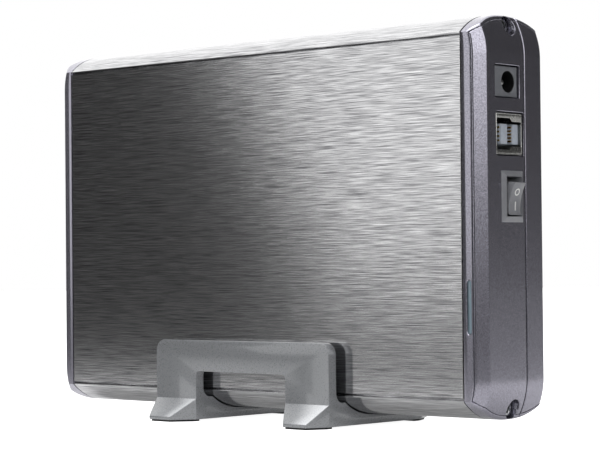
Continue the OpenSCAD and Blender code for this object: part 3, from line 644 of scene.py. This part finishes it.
def inYat(outline, y):
    # an outline in x and z placed at one y
    return np.column_stack([outline[:, 0], np.full(len(outline), y), outline[:, 1]])


def turning(angle):
    # matrix that turns rows of two coordinates
    return np.array([[math.cos(angle), math.sin(angle)], [-math.sin(angle), math.cos(angle)]])


def lathe(profile, steps=48):
    # profile of (along x, radius) turned about the x axis, closed by its two poles
    angles = np.linspace(0, 2 * math.pi, steps, endpoint=False)
    rings = [np.column_stack([np.full(steps, x), r * np.cos(angles), r * np.sin(angles)]) for x, r in profile]
    return loft(rings)


def moved(solid, offset):
    return np.asarray(solid[0]) + np.asarray(offset), solid[1]


# ---- the brushed shell ----

shellSet = {"wall": 1.5, "grooveHalf": 0.36, "grooveDepth": 0.7, "grooveDown": 0.65, "edge": 0.12,
            "channelZ": 55.7, "channelRadius": 2.6, "channelNeck": 0.8, "boreRadius": 1.5}


def outsetLoop(loop, distance):
    # every point moved along the outline's normal; positive is outwards on an anticlockwise outline
    along = np.roll(loop, -1, 0) - np.roll(loop, 1, 0)
    along /= np.linalg.norm(along, axis=1)[:, None]
    return loop + distance * np.column_stack([along[:, 1], -along[:, 0]])


def shellOutline(settings):
    # straight flat faces, a V groove just inside each of their edges, a crease, and the bulge
    # of each narrow side
    s = settings
    across = halfThick * np.cos(np.radians(np.linspace(0, 180, 61)))
    crown = np.column_stack([across, shoulderZ + sideBulge(across)])
    half, depth, middle = s["grooveHalf"], s["grooveDepth"], shoulderZ - s["grooveDown"]
    side = [[-halfThick, middle + half], [-halfThick + depth, middle], [-halfThick, middle - half]]
    side += [[-halfThick, z] for z in np.linspace(middle - half, -middle + half, 9)[1:-1]]
    side += [[-halfThick, -middle + half], [-halfThick + depth, -middle], [-halfThick, -middle - half]]
    top = np.concatenate([crown, side])
    return np.concatenate([top, -top])


def shellBore(settings):
    # inner outline of the wall, carried round the outside of the two screw channels
    wall, radius, centre, neck = (settings[k] for k in ("wall", "channelRadius", "channelZ", "channelNeck"))
    start = math.acos(neck / radius)
    reach = halfThick - wall
    right = np.linspace(reach, neck, 22)
    base, rise = shoulderZ - 0.3 * wall, sideRise - 0.7 * wall
    angles = np.linspace(start, -math.pi - start, 28)
    curve = np.column_stack([right, base + sideBulge(right, reach, rise)])
    top = np.concatenate([curve, np.column_stack([radius * np.cos(angles), centre + radius * np.sin(angles)]),
                          curve[::-1] * [-1, 1]])
    return np.concatenate([top, -top])


def tube(loops, stations):
    # outlines in y and z carried along x: the first is the outside, the others are holes;
    # stations are (x, inset of the outside)
    solids = []
    for number, outline in enumerate(loops):
        rings = [inXat(outsetLoop(outline, -inset) if number == 0 else outline, x) for x, inset in stations]
        solids.append((np.concatenate(rings), gridFaces(len(rings), len(outline))))
    points, faces = joined(*solids)
    for x, inset, last in ((*stations[0], False), (*stations[-1], True)):
        loopsHere = [outsetLoop(o, -inset) if n == 0 else o for n, o in enumerate(loops)]
        where, offset = [], 0
        for outline in loops:
            ring = len(outline) * (len(stations) - 1) if last else 0
            where += list(range(offset + ring, offset + ring + len(outline)))
            offset += len(outline) * len(stations)
        fill = tessellate_polygon([[Vector((y, z, 0)) for y, z in outline] for outline in loopsHere])
        faces += [[where[i] for i in triangle] for triangle in fill]
    return points, faces


def makeShell(settings):
    bores = [arc((0, s * settings["channelZ"]), settings["boreRadius"], 0, 360 - 15, 23) for s in (1, -1)]
    edge = settings["edge"]
    stations = [(-halfLength, edge), (-halfLength + edge, 0), (0, 0), (halfLength - edge, 0),
                (halfLength, edge)]
    solid = tube([shellOutline(settings), shellBore(settings), *bores], stations)
    return finishPiece(makeMesh("brushed_shell", solid), "shell_aluminium", "enclosure", ("shell",), 20)


makeShell(shellSet)

# ---- end caps ----

capSet = {
    "foot": 83.6,                   # joint plane with the shell
    "parting": 87.35,               # line between the rim and the nose
    "nose": 90.93,                  # outermost face
    "softness": 0.10,               # of the crease between bevel and end face
    "crown": 0.15,                  # bulge of the end face across its width
    "wall": 2.85,
    "spine": 40.0,                  # height of the line that every section closes on
    "seamY": 4.63,
    "seamHalf": 0.25,
    "lip": 0.2,                     # rounded edges along seams and openings
    "spigotEnd": 79.5,
    "screwZ": 55.7,
    "screwSeat": 85.2,
    "recess": 2.8,                  # radius round the screw's head
    "seatHole": 1.6,
    "clearHole": 2.9,               # behind the foot, round the shell's screw channel
    "boss": 3.85,
}


def noseHeight(y, z, drop=0.0):
    # the lower of the 45 degree bevels and the end face, both falling back towards the narrow
    # sides by 0.0285 (|z| - 47)^1.95; a soft minimum rounds the crease between them
    s = capSet
    fall = 0.0285 * np.clip(np.abs(z) - 47, 0, None) ** 1.95
    bevel = s["parting"] + halfThick - np.abs(y) - drop * 0.4
    face = s["nose"] - s["crown"] * (y / 12.8) ** 2 - drop
    soft = s["softness"]
    lowest = np.minimum(bevel, face)
    return lowest - fall - soft * np.log(np.exp(-(bevel - lowest) / soft) + np.exp(-(face - lowest) / soft))


def capColumns():
    # start and finish of each column: from the outline of the section straight in to the spine
    turn = np.radians(np.arange(0, 180.1, 3))
    side = halfThick * np.cos(turn)
    inner = capSet["spine"]
    flat = np.concatenate([np.linspace(shoulderZ, inner, 13)[1:], np.linspace(inner, -inner, 21)[1:],
                           np.linspace(-inner, -shoulderZ, 13)[1:-1]])
    startY = np.concatenate([side, np.full(len(flat), -halfThick)])
    startZ = np.concatenate([shoulderZ + sideBulge(side), flat])
    endZ = np.concatenate([inner + 2.45 * np.sin(turn), flat * inner / shoulderZ])
    return [np.concatenate([half, -half]) for half in (startY, startZ, endZ)]


def capSolid():
    # closed shell of the cap: one profile of (inset, x) carried round the section, from the
    # spine of the hollow, round the spigot and the foot, over rim, groove and nose to the outer spine
    s = capSet
    startY, startZ, endZ = capColumns()
    rise = np.clip((np.abs(startZ) - shoulderZ) / sideRise, 0, 1)
    turn = np.clip(rise * 6, 0, 1)

    def ring(inset, x):
        share = np.broadcast_to(inset, startY.shape) / halfThick
        return np.column_stack([np.broadcast_to(x, startY.shape), startY * (1 - share),
                                startZ + (endZ - startZ) * share])

    def noseRing(inset, drop=0.0, thickness=0.0):
        outside = ring(inset, 0.0)
        outside[:, 0] = noseHeight(outside[:, 1], outside[:, 2], thickness) - drop
        return outside

    hollow = [*np.linspace(halfThick, 4, 10), 3.4, s["wall"]]
    rings = [noseRing(inset, 0, 2.0) for inset in hollow]
    spigot, foot = s["spigotEnd"], s["foot"]
    rings += [ring(s["wall"], 82.5), ring(s["wall"], spigot + 0.2), ring(s["wall"] - 0.2, spigot),
              ring(1.9, spigot), ring(1.65, spigot + 0.3), ring(1.65, foot), ring(0.5, foot),
              ring(0.5, foot + 0.32), ring(0.04, foot + 0.32), ring(0.0, foot + 0.38)]
    strip = 0.2 + 1.0 * rise
    edge = noseHeight(startY, startZ)
    start = edge - 0.3 - 0.4 * turn
    lipEnd = edge + turn * (noseRing(strip)[:, 0] - edge) - 0.03
    rings += [ring(0.0, (start + foot) / 2), ring(0.0, start - 0.3)]
    for angle in np.radians(np.linspace(0, 90, 6)):
        rings.append(ring(strip * (1 - math.cos(angle)), start + (lipEnd - start) * math.sin(angle)))
    wide = 0.26 - 0.12 * turn
    floor = lipEnd - 0.6 + 0.3 * turn
    rings += [ring(strip + 0.03, lipEnd - 0.12), ring(strip + 0.05, floor), ring(strip + wide - 0.04, floor)]
    begin = strip + wide
    radius = 0.22 - 0.04 * turn
    for step in np.linspace(0, 1, 7):
        rings.append(noseRing(begin + radius * step, radius * (1 - math.sqrt(1 - (1 - step) ** 2))))
    # close rows over the crease between bevel and end face, then wider ones to the spine
    pitch, rows = 0.16, 26
    for step in np.arange(1, rows + 1):
        rings.append(noseRing(begin + radius + pitch * step))
    last = begin + radius + pitch * rows
    for step in np.linspace(0, 1, 20)[1:]:
        rings.append(noseRing(last + (halfThick - last) * step))
    return np.concatenate(rings), gridFaces(len(rings), len(startY))


def mouthTool(outline, depthX, lip, steps=()):
    # cutter along x for an opening in the end face, flared where it meets the surface; steps are
    # earlier (x, scale) rings behind it
    outline = np.asarray(outline, float)
    middle = outline.mean(0)
    rings = [inXat(middle + (outline - middle) * scale, x) for x, scale in steps]
    rings.append(inXat(outline, depthX))
    rings.append(inXat(outline, noseHeight(outline[:, 0], outline[:, 1]) - lip))
    for outwards, rise in ((lip, 0.0), (3 * lip, 2 * lip)):
        ring = outsetLoop(outline, outwards)
        rings.append(inXat(ring, noseHeight(ring[:, 0], ring[:, 1]) + rise))
    rings.append(inXat(outsetLoop(outline, 3 * lip), 96.0))
    return loft(rings)


def seamTool(side):
    # everything beyond the seam on one side: a flat wall that flares at the outer surface, so that
    # both mouldings keep a rounded lip
    s = capSet
    y = s["seamY"] + side * s["seamHalf"]
    topZ = float(shoulderZ + sideBulge(s["seamY"]))
    down = np.linspace(topZ - 1.3, -topZ + 1.3, 140)
    face = np.column_stack([noseHeight(np.full(len(down), s["seamY"]), down), down])
    rim = [[75.0, topZ], [80.0, topZ], [86.8, topZ], [87.5, topZ - 0.3], [87.95, topZ - 0.8]]
    outline = np.concatenate([rim, face, [[x, -z] for x, z in rim[::-1]]])
    rings = []
    for offset, inwards in ((-s["lip"], 0.0), (0.6, 0.82)):
        loopHere = outsetLoop(outline[::-1], offset)[::-1]
        rings.append(inYat(loopHere, y + side * inwards))
    far = rings[-1].copy()
    far[:, 1] = 40.0 if side < 0 else -40.0
    return loft([*rings, far])


def capTools(ports):
    s = capSet
    tools = []
    for sign in (1, -1):
        centre = (0, sign * s["screwZ"])
        recess = arc(centre, s["recess"], 0, 352.5, 47)
        clear, seatHole = s["clearHole"] / s["recess"], s["seatHole"] / s["recess"]
        steps = [(78.0, clear), (s["foot"], clear), (s["foot"] + 0.01, seatHole),
                 (s["screwSeat"] - 0.01, seatHole)]
        tools.append(mouthTool(recess, s["screwSeat"], 0.14, steps))
    for outline in ports:
        tools.append(mouthTool(outline, 80.0, 0.12))
    return tools


def makeCap(names, ports=(), extraTools=(), mirror=False, body="drawer", nodesHere=()):
    s = capSet
    base = capSolid()
    bosses = []
    for sign in (1, -1):
        outline = arc((0, sign * s["screwZ"]), s["boss"], 0, 352.5, 47)
        ceiling = shoulderZ + sideBulge(outline[:, 0]) - 0.4
        outline[:, 1] = np.clip(outline[:, 1], -ceiling, ceiling)
        front = noseHeight(outline[:, 0], outline[:, 1]) - 0.8
        bosses.append(loft([inXat(outline, s["foot"] + 0.02), inXat(outline, front)]))
    cap = makeMesh(names[0], base)
    combine(cap, joined(*bosses), "UNION")
    combine(cap, joined(*capTools(ports), *extraTools), "DIFFERENCE")
    trim = cap.copy()
    trim.data = cap.data.copy()
    trim.name = names[1]
    bpy.context.scene.collection.objects.link(trim)
    combine(cap, seamTool(-1), "DIFFERENCE")
    combine(trim, seamTool(1), "DIFFERENCE")
    for piece, node in zip((cap, trim), nodesHere):
        if mirror:
            swap = bmesh.new()
            swap.from_mesh(piece.data)
            for corner in swap.verts:
                corner.co.x = 2 * shellMiddle[0] - corner.co.x
            bmesh.ops.reverse_faces(swap, faces=swap.faces)
            swap.to_mesh(piece.data)
            swap.free()
        finishPiece(piece, "cap_plastic", body, (node,), 34)


jackBox = nodeBox("dc_jack")
usbBox = nodeBox("usb_shell")
switchBox = nodeBox("switch_housing")
lensBox = nodeBox("led_lens")


def boxOutline(box, margin, radius):
    low, high = box[0][1:] - margin, box[1][1:] + margin
    return roundedBox(high[0] - low[0], high[1] - low[1], radius, 4, ((low + high) / 2))


def slotOutline(box, margin):
    # stadium in x and z round the light bar
    low, high = box[0][[0, 2]] - margin, box[1][[0, 2]] + margin
    radius = (high[0] - low[0]) / 2 - 0.001
    return roundedBox(high[0] - low[0], high[1] - low[1], radius, 10, ((low + high) / 2))


def slotTool(box):
    rings = []
    for y, margin in ((-11.0, 0.05), (-halfThick + 0.2, 0.05), (-halfThick, 0.22), (-halfThick - 0.5, 0.6)):
        outline = slotOutline(box, margin)
        rings.append(inYat(outline, y))
    return loft(rings)


switchMiddle = (switchBox[0][1:] + switchBox[1][1:]) / 2
portOutlines = [boxOutline(jackBox, 0.35, 0.3), boxOutline(usbBox, 0.35, 0.4),
                roundedBox(8.9, 13.3, 0.5, 4, switchMiddle)]
makeCap(("rear_cap", "rear_trim"), portOutlines, [slotTool(lensBox)], False, "drawer",
        ("rear_end_cap", "rear_cap_trim"))
makeCap(("front_cap", "front_trim"), (), (), True, "enclosure", ("front_end_cap", "front_cap_trim"))
print("caps made")

# ---- cap screws ----

screwSet = {"headRadius": 2.5, "headHigh": 2.0, "shank": 1.45, "length": 12.0, "slotWide": 0.75,
            "slotReach": 1.55, "turns": (25, 62)}


def capScrew(settings, sign, turn):
    # pan head over a plain shank; its dome has radius = head radius * cos(a)^0.55 at a height of
    # 0.5 + (height - 0.5) * sin(a)
    s = settings
    seat = capSet["screwSeat"] + 0.02
    bend = np.radians(np.linspace(0, 88, 10))
    dome = [(seat + 0.5 + (s["headHigh"] - 0.5) * math.sin(a), s["headRadius"] * math.cos(a) ** 0.55)
            for a in bend]
    profile = [(seat - s["length"], 0.9), (seat - s["length"] + 0.6, s["shank"]), (seat, s["shank"]),
               (seat, s["headRadius"] - 0.15), (seat + 0.12, s["headRadius"])]
    solid = moved(lathe(profile + dome), (0, 0, sign * capSet["screwZ"]))
    arms = []
    for quarter in (0, 90):
        spin = turning(math.radians(turn + quarter))
        wide, reach = s["slotWide"] / 2, s["slotReach"]
        corners = np.array([[-reach, -wide], [reach, -wide], [reach, wide], [-reach, wide]])
        outline = corners @ spin + [0, sign * capSet["screwZ"]]
        shrink = (corners * [0.45, 0.7]) @ spin + [0, sign * capSet["screwZ"]]
        arms.append(loft([inXat(shrink, seat + 0.6), inXat(outline, seat + 2.4)]))
    return solid, arms


def makeCapScrews(name, node, body, mirror):
    solids = []
    for sign, turn in zip((1, -1), screwSet["turns"]):
        solid, arms = capScrew(screwSet, sign, turn)
        one = makeMesh("one", solid)
        for tool in arms:
            combine(one, tool, "DIFFERENCE")
        points, faces = takeApart(one)
        if mirror:
            points[:, 0] *= -1
        solids.append((points, faces))
    finishPiece(makeMesh(name, joined(*solids)), "screw_steel", body, (node,), 30)


makeCapScrews("rear_screws", "rear_cap_screws", "drawer", False)
makeCapScrews("front_screws", "front_cap_screws", "enclosure", True)

# ---- light bar ----


def makeLens(box):
    # stadium with a crowned front, set a little below the face
    crowned = [(0.30, 0.0), (0.16, 0.08), (0.08, 0.25), (0.05, 0.5)]
    rings = []
    for y, inset in [(box[1][1], 0.0)] + [(depth - halfThick, inset) for depth, inset in crowned]:
        outline = slotOutline(box, -inset)
        rings.append(inYat(outline, y))
    finishPiece(makeMesh("light_bar", loft(rings)), "lens_acrylic", "drawer", ("led_lens",))


makeLens(lensBox)

# ---- power socket ----


def paintRecessShade(piece, chosen):
    # paints the chosen faces, picked by their middles, with the black connector finish: painted shade in a
    # recess
    piece.data.materials.append(materials["connector_black"])
    middles = np.array([face.center for face in piece.data.polygons])
    x, y, z = ((middles - shellMiddle) * 1000).T
    piece.data.polygons.foreach_set("material_index", chosen(x, y, z).astype(np.int32))


jackSet = {"axisY": -2.2, "hole": 3.15, "seatX": 80.3, "edge": 0.2}


def makeJack(settings, box):
    # a round hole opened out to a rectangular face: rays from the hole's axis meet the circle
    # and the rectangle at the same angles
    s = settings
    low, high = box[0][1:] - [s["axisY"], 0], box[1][1:] - [s["axisY"], 0]
    middleZ = (low[1] + high[1]) / 2
    corners = [math.atan2(z - middleZ, y) for y in (low[0], high[0]) for z in (low[1], high[1])]
    angles = np.sort(np.concatenate([np.linspace(-math.pi, math.pi, 72, endpoint=False), corners]))
    cos, sin = np.cos(angles), np.sin(angles)
    halfZ = (high[1] - low[1]) / 2
    across = np.where(cos > 0, high[0], -low[0]) / np.maximum(np.abs(cos), 1e-9)
    reach = np.minimum(across, halfZ / np.maximum(np.abs(sin), 1e-9))

    def ring(x, radius):
        return np.column_stack([np.full(len(angles), x), s["axisY"] + radius * cos, middleZ + radius * sin])

    face, back, edge = box[1][0], box[0][0], s["edge"]
    rings = [ring(s["seatX"], s["hole"]), ring(face - 0.35, s["hole"]), ring(face - 0.05, s["hole"] + 0.22),
             ring(face, s["hole"] + 0.42), ring(face, reach - edge), ring(face - edge, reach),
             ring(back, reach)]
    points, faces = loft(rings)
    piece = finishPiece(makeMesh("power_socket", (points, faces)), "socket_grey", "drawer", ("dc_jack",))
    # painted shade: the bore of the hole, walls and floor, is given the black finish so it looks dark inside
    paintRecessShade(piece, lambda x, y, z: (x < face - 0.2) &
           (np.hypot(y - s["axisY"], z - middleZ) < s["hole"] + 0.01))


def makeJackPin(box):
    # centre pin with a rounded tip
    middle = (box[0] + box[1]) / 2
    radius = (box[1][1] - box[0][1]) / 2
    tip, root = box[1][0], box[0][0]
    neck = tip - 0.7
    profile = [(root, radius), (neck, radius)]
    for angle in np.radians(np.linspace(15, 80, 6)):
        profile.append((neck + 0.7 * math.sin(angle), radius * math.cos(angle) ** 0.7))
    pin = moved(lathe(profile, 32), (0, middle[1], middle[2]))
    finishPiece(makeMesh("socket_pin", pin), "plated_can", "drawer", ("dc_jack_pin",))


makeJack(jackSet, jackBox)
makeJackPin(nodeBox("dc_jack_pin"))

# ---- data socket ----

usbSet = {
    "sheet": 0.4, "corner": 0.5, "edge": 0.12,
    "wideHalf": 4.6, "narrowHalf": 3.6, "stepY": -1.0, "slant": 0.9,     # the stepped mouth
    "tongues": ((-5.6, -2.4), (0.05, 2.75)), "tongueHigh": 5.9, "blockFront": 77.0,
}


def plank(outline, x0, x1, edge):
    # an outline in y and z carried along x, with its front edges rounded
    return loft([inXat(outline, x0), inXat(outline, x1 - edge),
                 inXat(outsetLoop(outline, -edge * 0.3), x1 - edge * 0.3),
                 inXat(outsetLoop(outline, -edge), x1)])


def makeUsbShell(settings, box):
    s = settings
    low, high = box[0], box[1]
    middle = (low[1:] + high[1:]) / 2
    wide, tall = high[1] - low[1], high[2] - low[2]
    sheet, edge, x0, x1 = s["sheet"], s["edge"], low[0], high[0]
    rings = []
    for inset, x in ((0, x0), (0, x1 - edge), (edge, x1), (sheet - edge, x1), (sheet, x1 - edge),
                     (sheet, x0 + sheet)):
        corner = s["corner"] - inset * 0.5
        rings.append(inXat(roundedBox(wide - 2 * inset, tall - 2 * inset, corner, 4, middle), x))
    lips = []
    for sign in (1, -1):
        top = tall / 2 - sheet + 0.05
        y0, y1 = low[1] + sheet - 0.05, high[1] - sheet + 0.05
        outline = np.array([[y0, top], [y0, s["wideHalf"]], [s["stepY"] - s["slant"], s["wideHalf"]],
                            [s["stepY"], s["narrowHalf"]], [y1, s["narrowHalf"]], [y1, top]])
        outline[:, 1] = middle[1] + sign * outline[:, 1]
        if sign < 0:
            outline = outline[::-1]
        lips.append(plank(outline, x1 - sheet, x1 - 0.02, 0.1))
    piece = makeMesh("data_socket_shell", loft(rings))
    combine(piece, joined(*lips), "UNION")
    finishPiece(piece, "socket_plate", "drawer", ("usb_shell",))


def makeUsbTongue(settings, box):
    # the two tongues and the block behind them
    s = settings
    (x0, y0, z0), (front, y1, z1) = box
    middle = (z0 + z1) / 2
    block = roundedBox(y1 - y0, z1 - z0, 0.4, 3, ((y0 + y1) / 2, middle))
    solids = [plank(block, x0, s["blockFront"], 0.1)]
    for y0, y1 in s["tongues"]:
        tongue = roundedBox(y1 - y0, s["tongueHigh"], 0.3, 4, ((y0 + y1) / 2, middle))
        solids.append(plank(tongue, s["blockFront"] - 0.1, front, 0.3))
    piece = makeMesh("data_socket_tongues", joined(*solids))
    finishPiece(piece, "insulator_pale", "drawer", ("usb_tongue",))
    # painted shade: the block behind the tongues is given the black finish so the mouth looks dark inside
    paintRecessShade(piece, lambda x, y, z: x < s["blockFront"] + 0.2)


makeUsbShell(usbSet, usbBox)
makeUsbTongue(usbSet, nodeBox("usb_tongue"))

# ---- power switch ----

switchSet = {"frame": (10.5, 15.2), "mouth": (7.1, 11.4), "body": (8.6, 13.0), "slope": 1.6, "high": 1.0,
             "floorX": 78.0}


def makeSwitchHousing(settings, box):
    s = settings
    middle = (box[0][1:] + box[1][1:]) / 2
    crest, slope = box[1][0], s["slope"]
    base = crest - s["high"]

    def ring(size, x, inset=0.0, radius=0.3):
        return inXat(roundedBox(size[0] - 2 * inset, size[1] - 2 * inset, radius, 3, middle), x)

    rings = [ring(s["mouth"], s["floorX"])]
    rings += [ring(s["mouth"], x, inset) for x, inset in (
        (crest - 0.25, 0), (crest - 0.08, -0.06), (crest, -0.14))]
    rings += [ring(s["frame"], x, inset, radius) for x, inset, radius in (
        (crest, slope + 0.08, 0.25), (crest - 0.08, slope - 0.1, 0.25),
        (base + 0.16, 0.16, 0.3), (base + 0.04, 0.02, 0.35), (base, 0.05, 0.35))]
    rings += [ring(s["body"], x, 0, 0.4) for x in (base, box[0][0])]
    finishPiece(makeMesh("switch_frame", loft(rings)), "switch_grey", "drawer", ("switch_housing",))


rockerSet = {"half": 4.75, "reach": 3.4, "hollow": 0.8, "halfWide": 2.75, "edge": 0.3, "tilt": 12.2,
             "pivotBack": 1.3, "ringAt": 1.85, "barAt": -2.25}


def makeRocker(settings):
    # side outline with a hollowed face, x = reach - hollow (1 - w^2) over its height w from -1 to 1,
    # carried across and turned about the pivot; the marks follow the same hollow
    s = settings
    pivot = np.array([capSet["nose"] - s["pivotBack"], switchMiddle[0], switchMiddle[1]])
    share = np.linspace(-1, 1, 21)
    face = np.column_stack([s["reach"] - s["hollow"] * (1 - share ** 2), s["half"] * share])
    back = np.array([[0.4, 4.5], [-2, 2.2], [-2, -2.2], [0.4, -4.5]])
    outline = np.concatenate([face, back])
    spin = turning(math.radians(s["tilt"]))

    def tilted(points):
        turned = np.array(points, float)
        turned[:, [0, 2]] = turned[:, [0, 2]] @ spin.T
        return turned + pivot

    wide, edge = s["halfWide"], s["edge"]
    rings = []
    for y, inset in ((-wide, edge), (-wide + 0.09, 0.09), (-wide + edge, 0),
                     (wide - edge, 0), (wide - 0.09, 0.09), (wide, edge)):
        rings.append(tilted(inYat(outsetLoop(outline, -inset), y)))
    stub = [(-3.85, 0.72), (-3.75, 0.8), (3.75, 0.8), (3.85, 0.72)]
    stubPoints, stubFaces = lathe(stub, 24)
    stubPoints = tilted(np.column_stack([stubPoints[:, 1], stubPoints[:, 0], stubPoints[:, 2]]))
    piece = makeMesh("rocker_key", joined(loft(rings), (stubPoints, stubFaces)))

    def onFace(y, w, lift):
        x = s["reach"] - s["hollow"] * (1 - (w / s["half"]) ** 2) + lift
        return tilted(np.column_stack([x, y, w]))

    angles = np.linspace(0, 2 * math.pi, 40, endpoint=False)
    ringRings = []
    for radius, lift in ((0.72, -0.05), (0.72, 0.035), (0.78, 0.05), (1.06, 0.05), (1.12, 0.035),
                         (1.12, -0.05)):
        ringRings.append(onFace(radius * np.cos(angles), s["ringAt"] + radius * 0.98 * np.sin(angles),
                                np.full(40, lift)))
    ringRings.append(ringRings[0])
    ringPoints, ringFaces = np.concatenate(ringRings), gridFaces(len(ringRings), 40)
    bar = roundedBox(0.42, 2.6, 0.18, 5, (0, s["barAt"]))
    bars = []
    for inset, lift in ((0, -0.05), (0, 0.035), (0.05, 0.05)):
        loopHere = outsetLoop(bar, -inset)
        bars.append(onFace(loopHere[:, 0], loopHere[:, 1], np.full(len(bar), lift)))
    marks = makeMesh("rocker_marks", joined((ringPoints, ringFaces), loft(bars)))
    finishPiece(piece, "switch_grey", "rocker", ("rocker",))
    finishPiece(marks, "mark_white", "rocker")


makeSwitchHousing(switchSet, switchBox)
makeRocker(rockerSet)
print("sockets and switch made")

# ---- stand ----

standSet = {
    "halfWide": 37.1, "innerEdge": 19.2, "plateIn": 18.5, "plateOut": 21.9, "footEnd": 28.6,
    "floorZ": -62.0, "creaseZ": -55.4, "lip": 1.0, "topZ": -36.85, "cornerRadius": 3.6,
    "windowTop": -46.7, "windowRadius": 1.2, "rounding": 0.8, "clearance": 0.3,
}


def prism(outline, axis, low, high):
    # an outline carried straight along one axis; its two values are the other two axes in order
    outline = np.asarray(outline, float)
    rings = [np.insert(outline, axis, value, axis=1) for value in (low, high)]
    return loft(rings)


def otherSide(outline):
    # the mirror image of part of an outline, in the order that closes it
    return (np.asarray(outline) * [-1, 1])[::-1]


def makeStand(settings):
    # the section through the bed cut to the plan of the feet, with a plate up each side
    s = settings
    wide, inner, plateOut, footEnd = s["halfWide"], s["innerEdge"], s["plateOut"], s["footEnd"]
    clearance = s["clearance"]
    across = np.linspace(-14.5, 14.5, 45)
    bulge = sideBulge(across, halfThick + clearance, sideRise + 0.7 * clearance)
    bed = np.column_stack([across, -shoulderZ - 0.3 * clearance - bulge])
    up = [[-plateOut, s["topZ"]], [-plateOut, s["creaseZ"]], [-footEnd, s["floorZ"] + s["lip"]],
          [-footEnd, s["floorZ"]]]
    turn = arc((s["plateIn"] - 3, -shoulderZ + 1), 3, 0, -107, 8)
    slotEdge = np.concatenate([[[s["plateIn"], s["topZ"]]], turn])
    section = np.concatenate([up, otherSide(up), slotEdge, bed[::-1], otherSide(slotEdge)])
    corner, window, below = s["cornerRadius"], s["windowRadius"], s["creaseZ"] - 12
    topCorner = arc((wide - corner, s["topZ"] - corner), corner, 0, 90, 10)
    windowCorner = arc((-inner + window, s["windowTop"] - window), window, 180, 90, 5)
    plate = np.concatenate([[[wide, below]], topCorner, otherSide(topCorner), [[-wide, below]],
                            [[-inner, below]], windowCorner, otherSide(windowCorner), [[inner, below]]])
    plan = []
    for sign in (1, -1):
        legs = [(inner, -plateOut), (inner + 5.2, -footEnd), (wide - 3.4, -footEnd), (wide, -plateOut)]
        legs += [(x, -y) for x, y in legs[::-1]]
        plan.append([[sign * x, y] for x, y in legs])
    stand = makeMesh("desk_stand", prism(section, 0, -wide, wide))
    legs = [prism(outline, 2, s["floorZ"] - 1, s["topZ"] + 1) for outline in plan]
    combine(stand, joined(*legs), "INTERSECT")
    ground = [[-wide, s["floorZ"] - 1], [wide, s["floorZ"] - 1]]
    top = np.concatenate([topCorner, otherSide(topCorner), ground])
    combine(stand, prism(top, 1, -footEnd - 1, footEnd + 1), "INTERSECT")
    cheeks = [prism(plate, 1, -plateOut, -s["plateIn"]), prism(plate, 1, s["plateIn"], plateOut)]
    plates = makeMesh("plates", joined(*cheeks))
    around = [[-wide - 1, -30], [wide + 1, -30], [wide + 1, 30], [-wide - 1, 30]]
    combine(plates, prism(around, 2, s["creaseZ"] - 20, s["creaseZ"]), "DIFFERENCE")
    combine(stand, takeApart(plates), "UNION")
    clean = bmesh.new()
    clean.from_mesh(stand.data)
    bmesh.ops.remove_doubles(clean, verts=clean.verts, dist=1e-6)
    bmesh.ops.dissolve_limit(clean, angle_limit=math.radians(1), verts=clean.verts, edges=clean.edges)
    clean.to_mesh(stand.data)
    clean.free()
    roundEdges(stand, s["rounding"], 3, 25)
    finishPiece(stand, "stand_plastic", "stand", ("stand_cradle",), 40)


makeStand(standSet)
print("stand made")
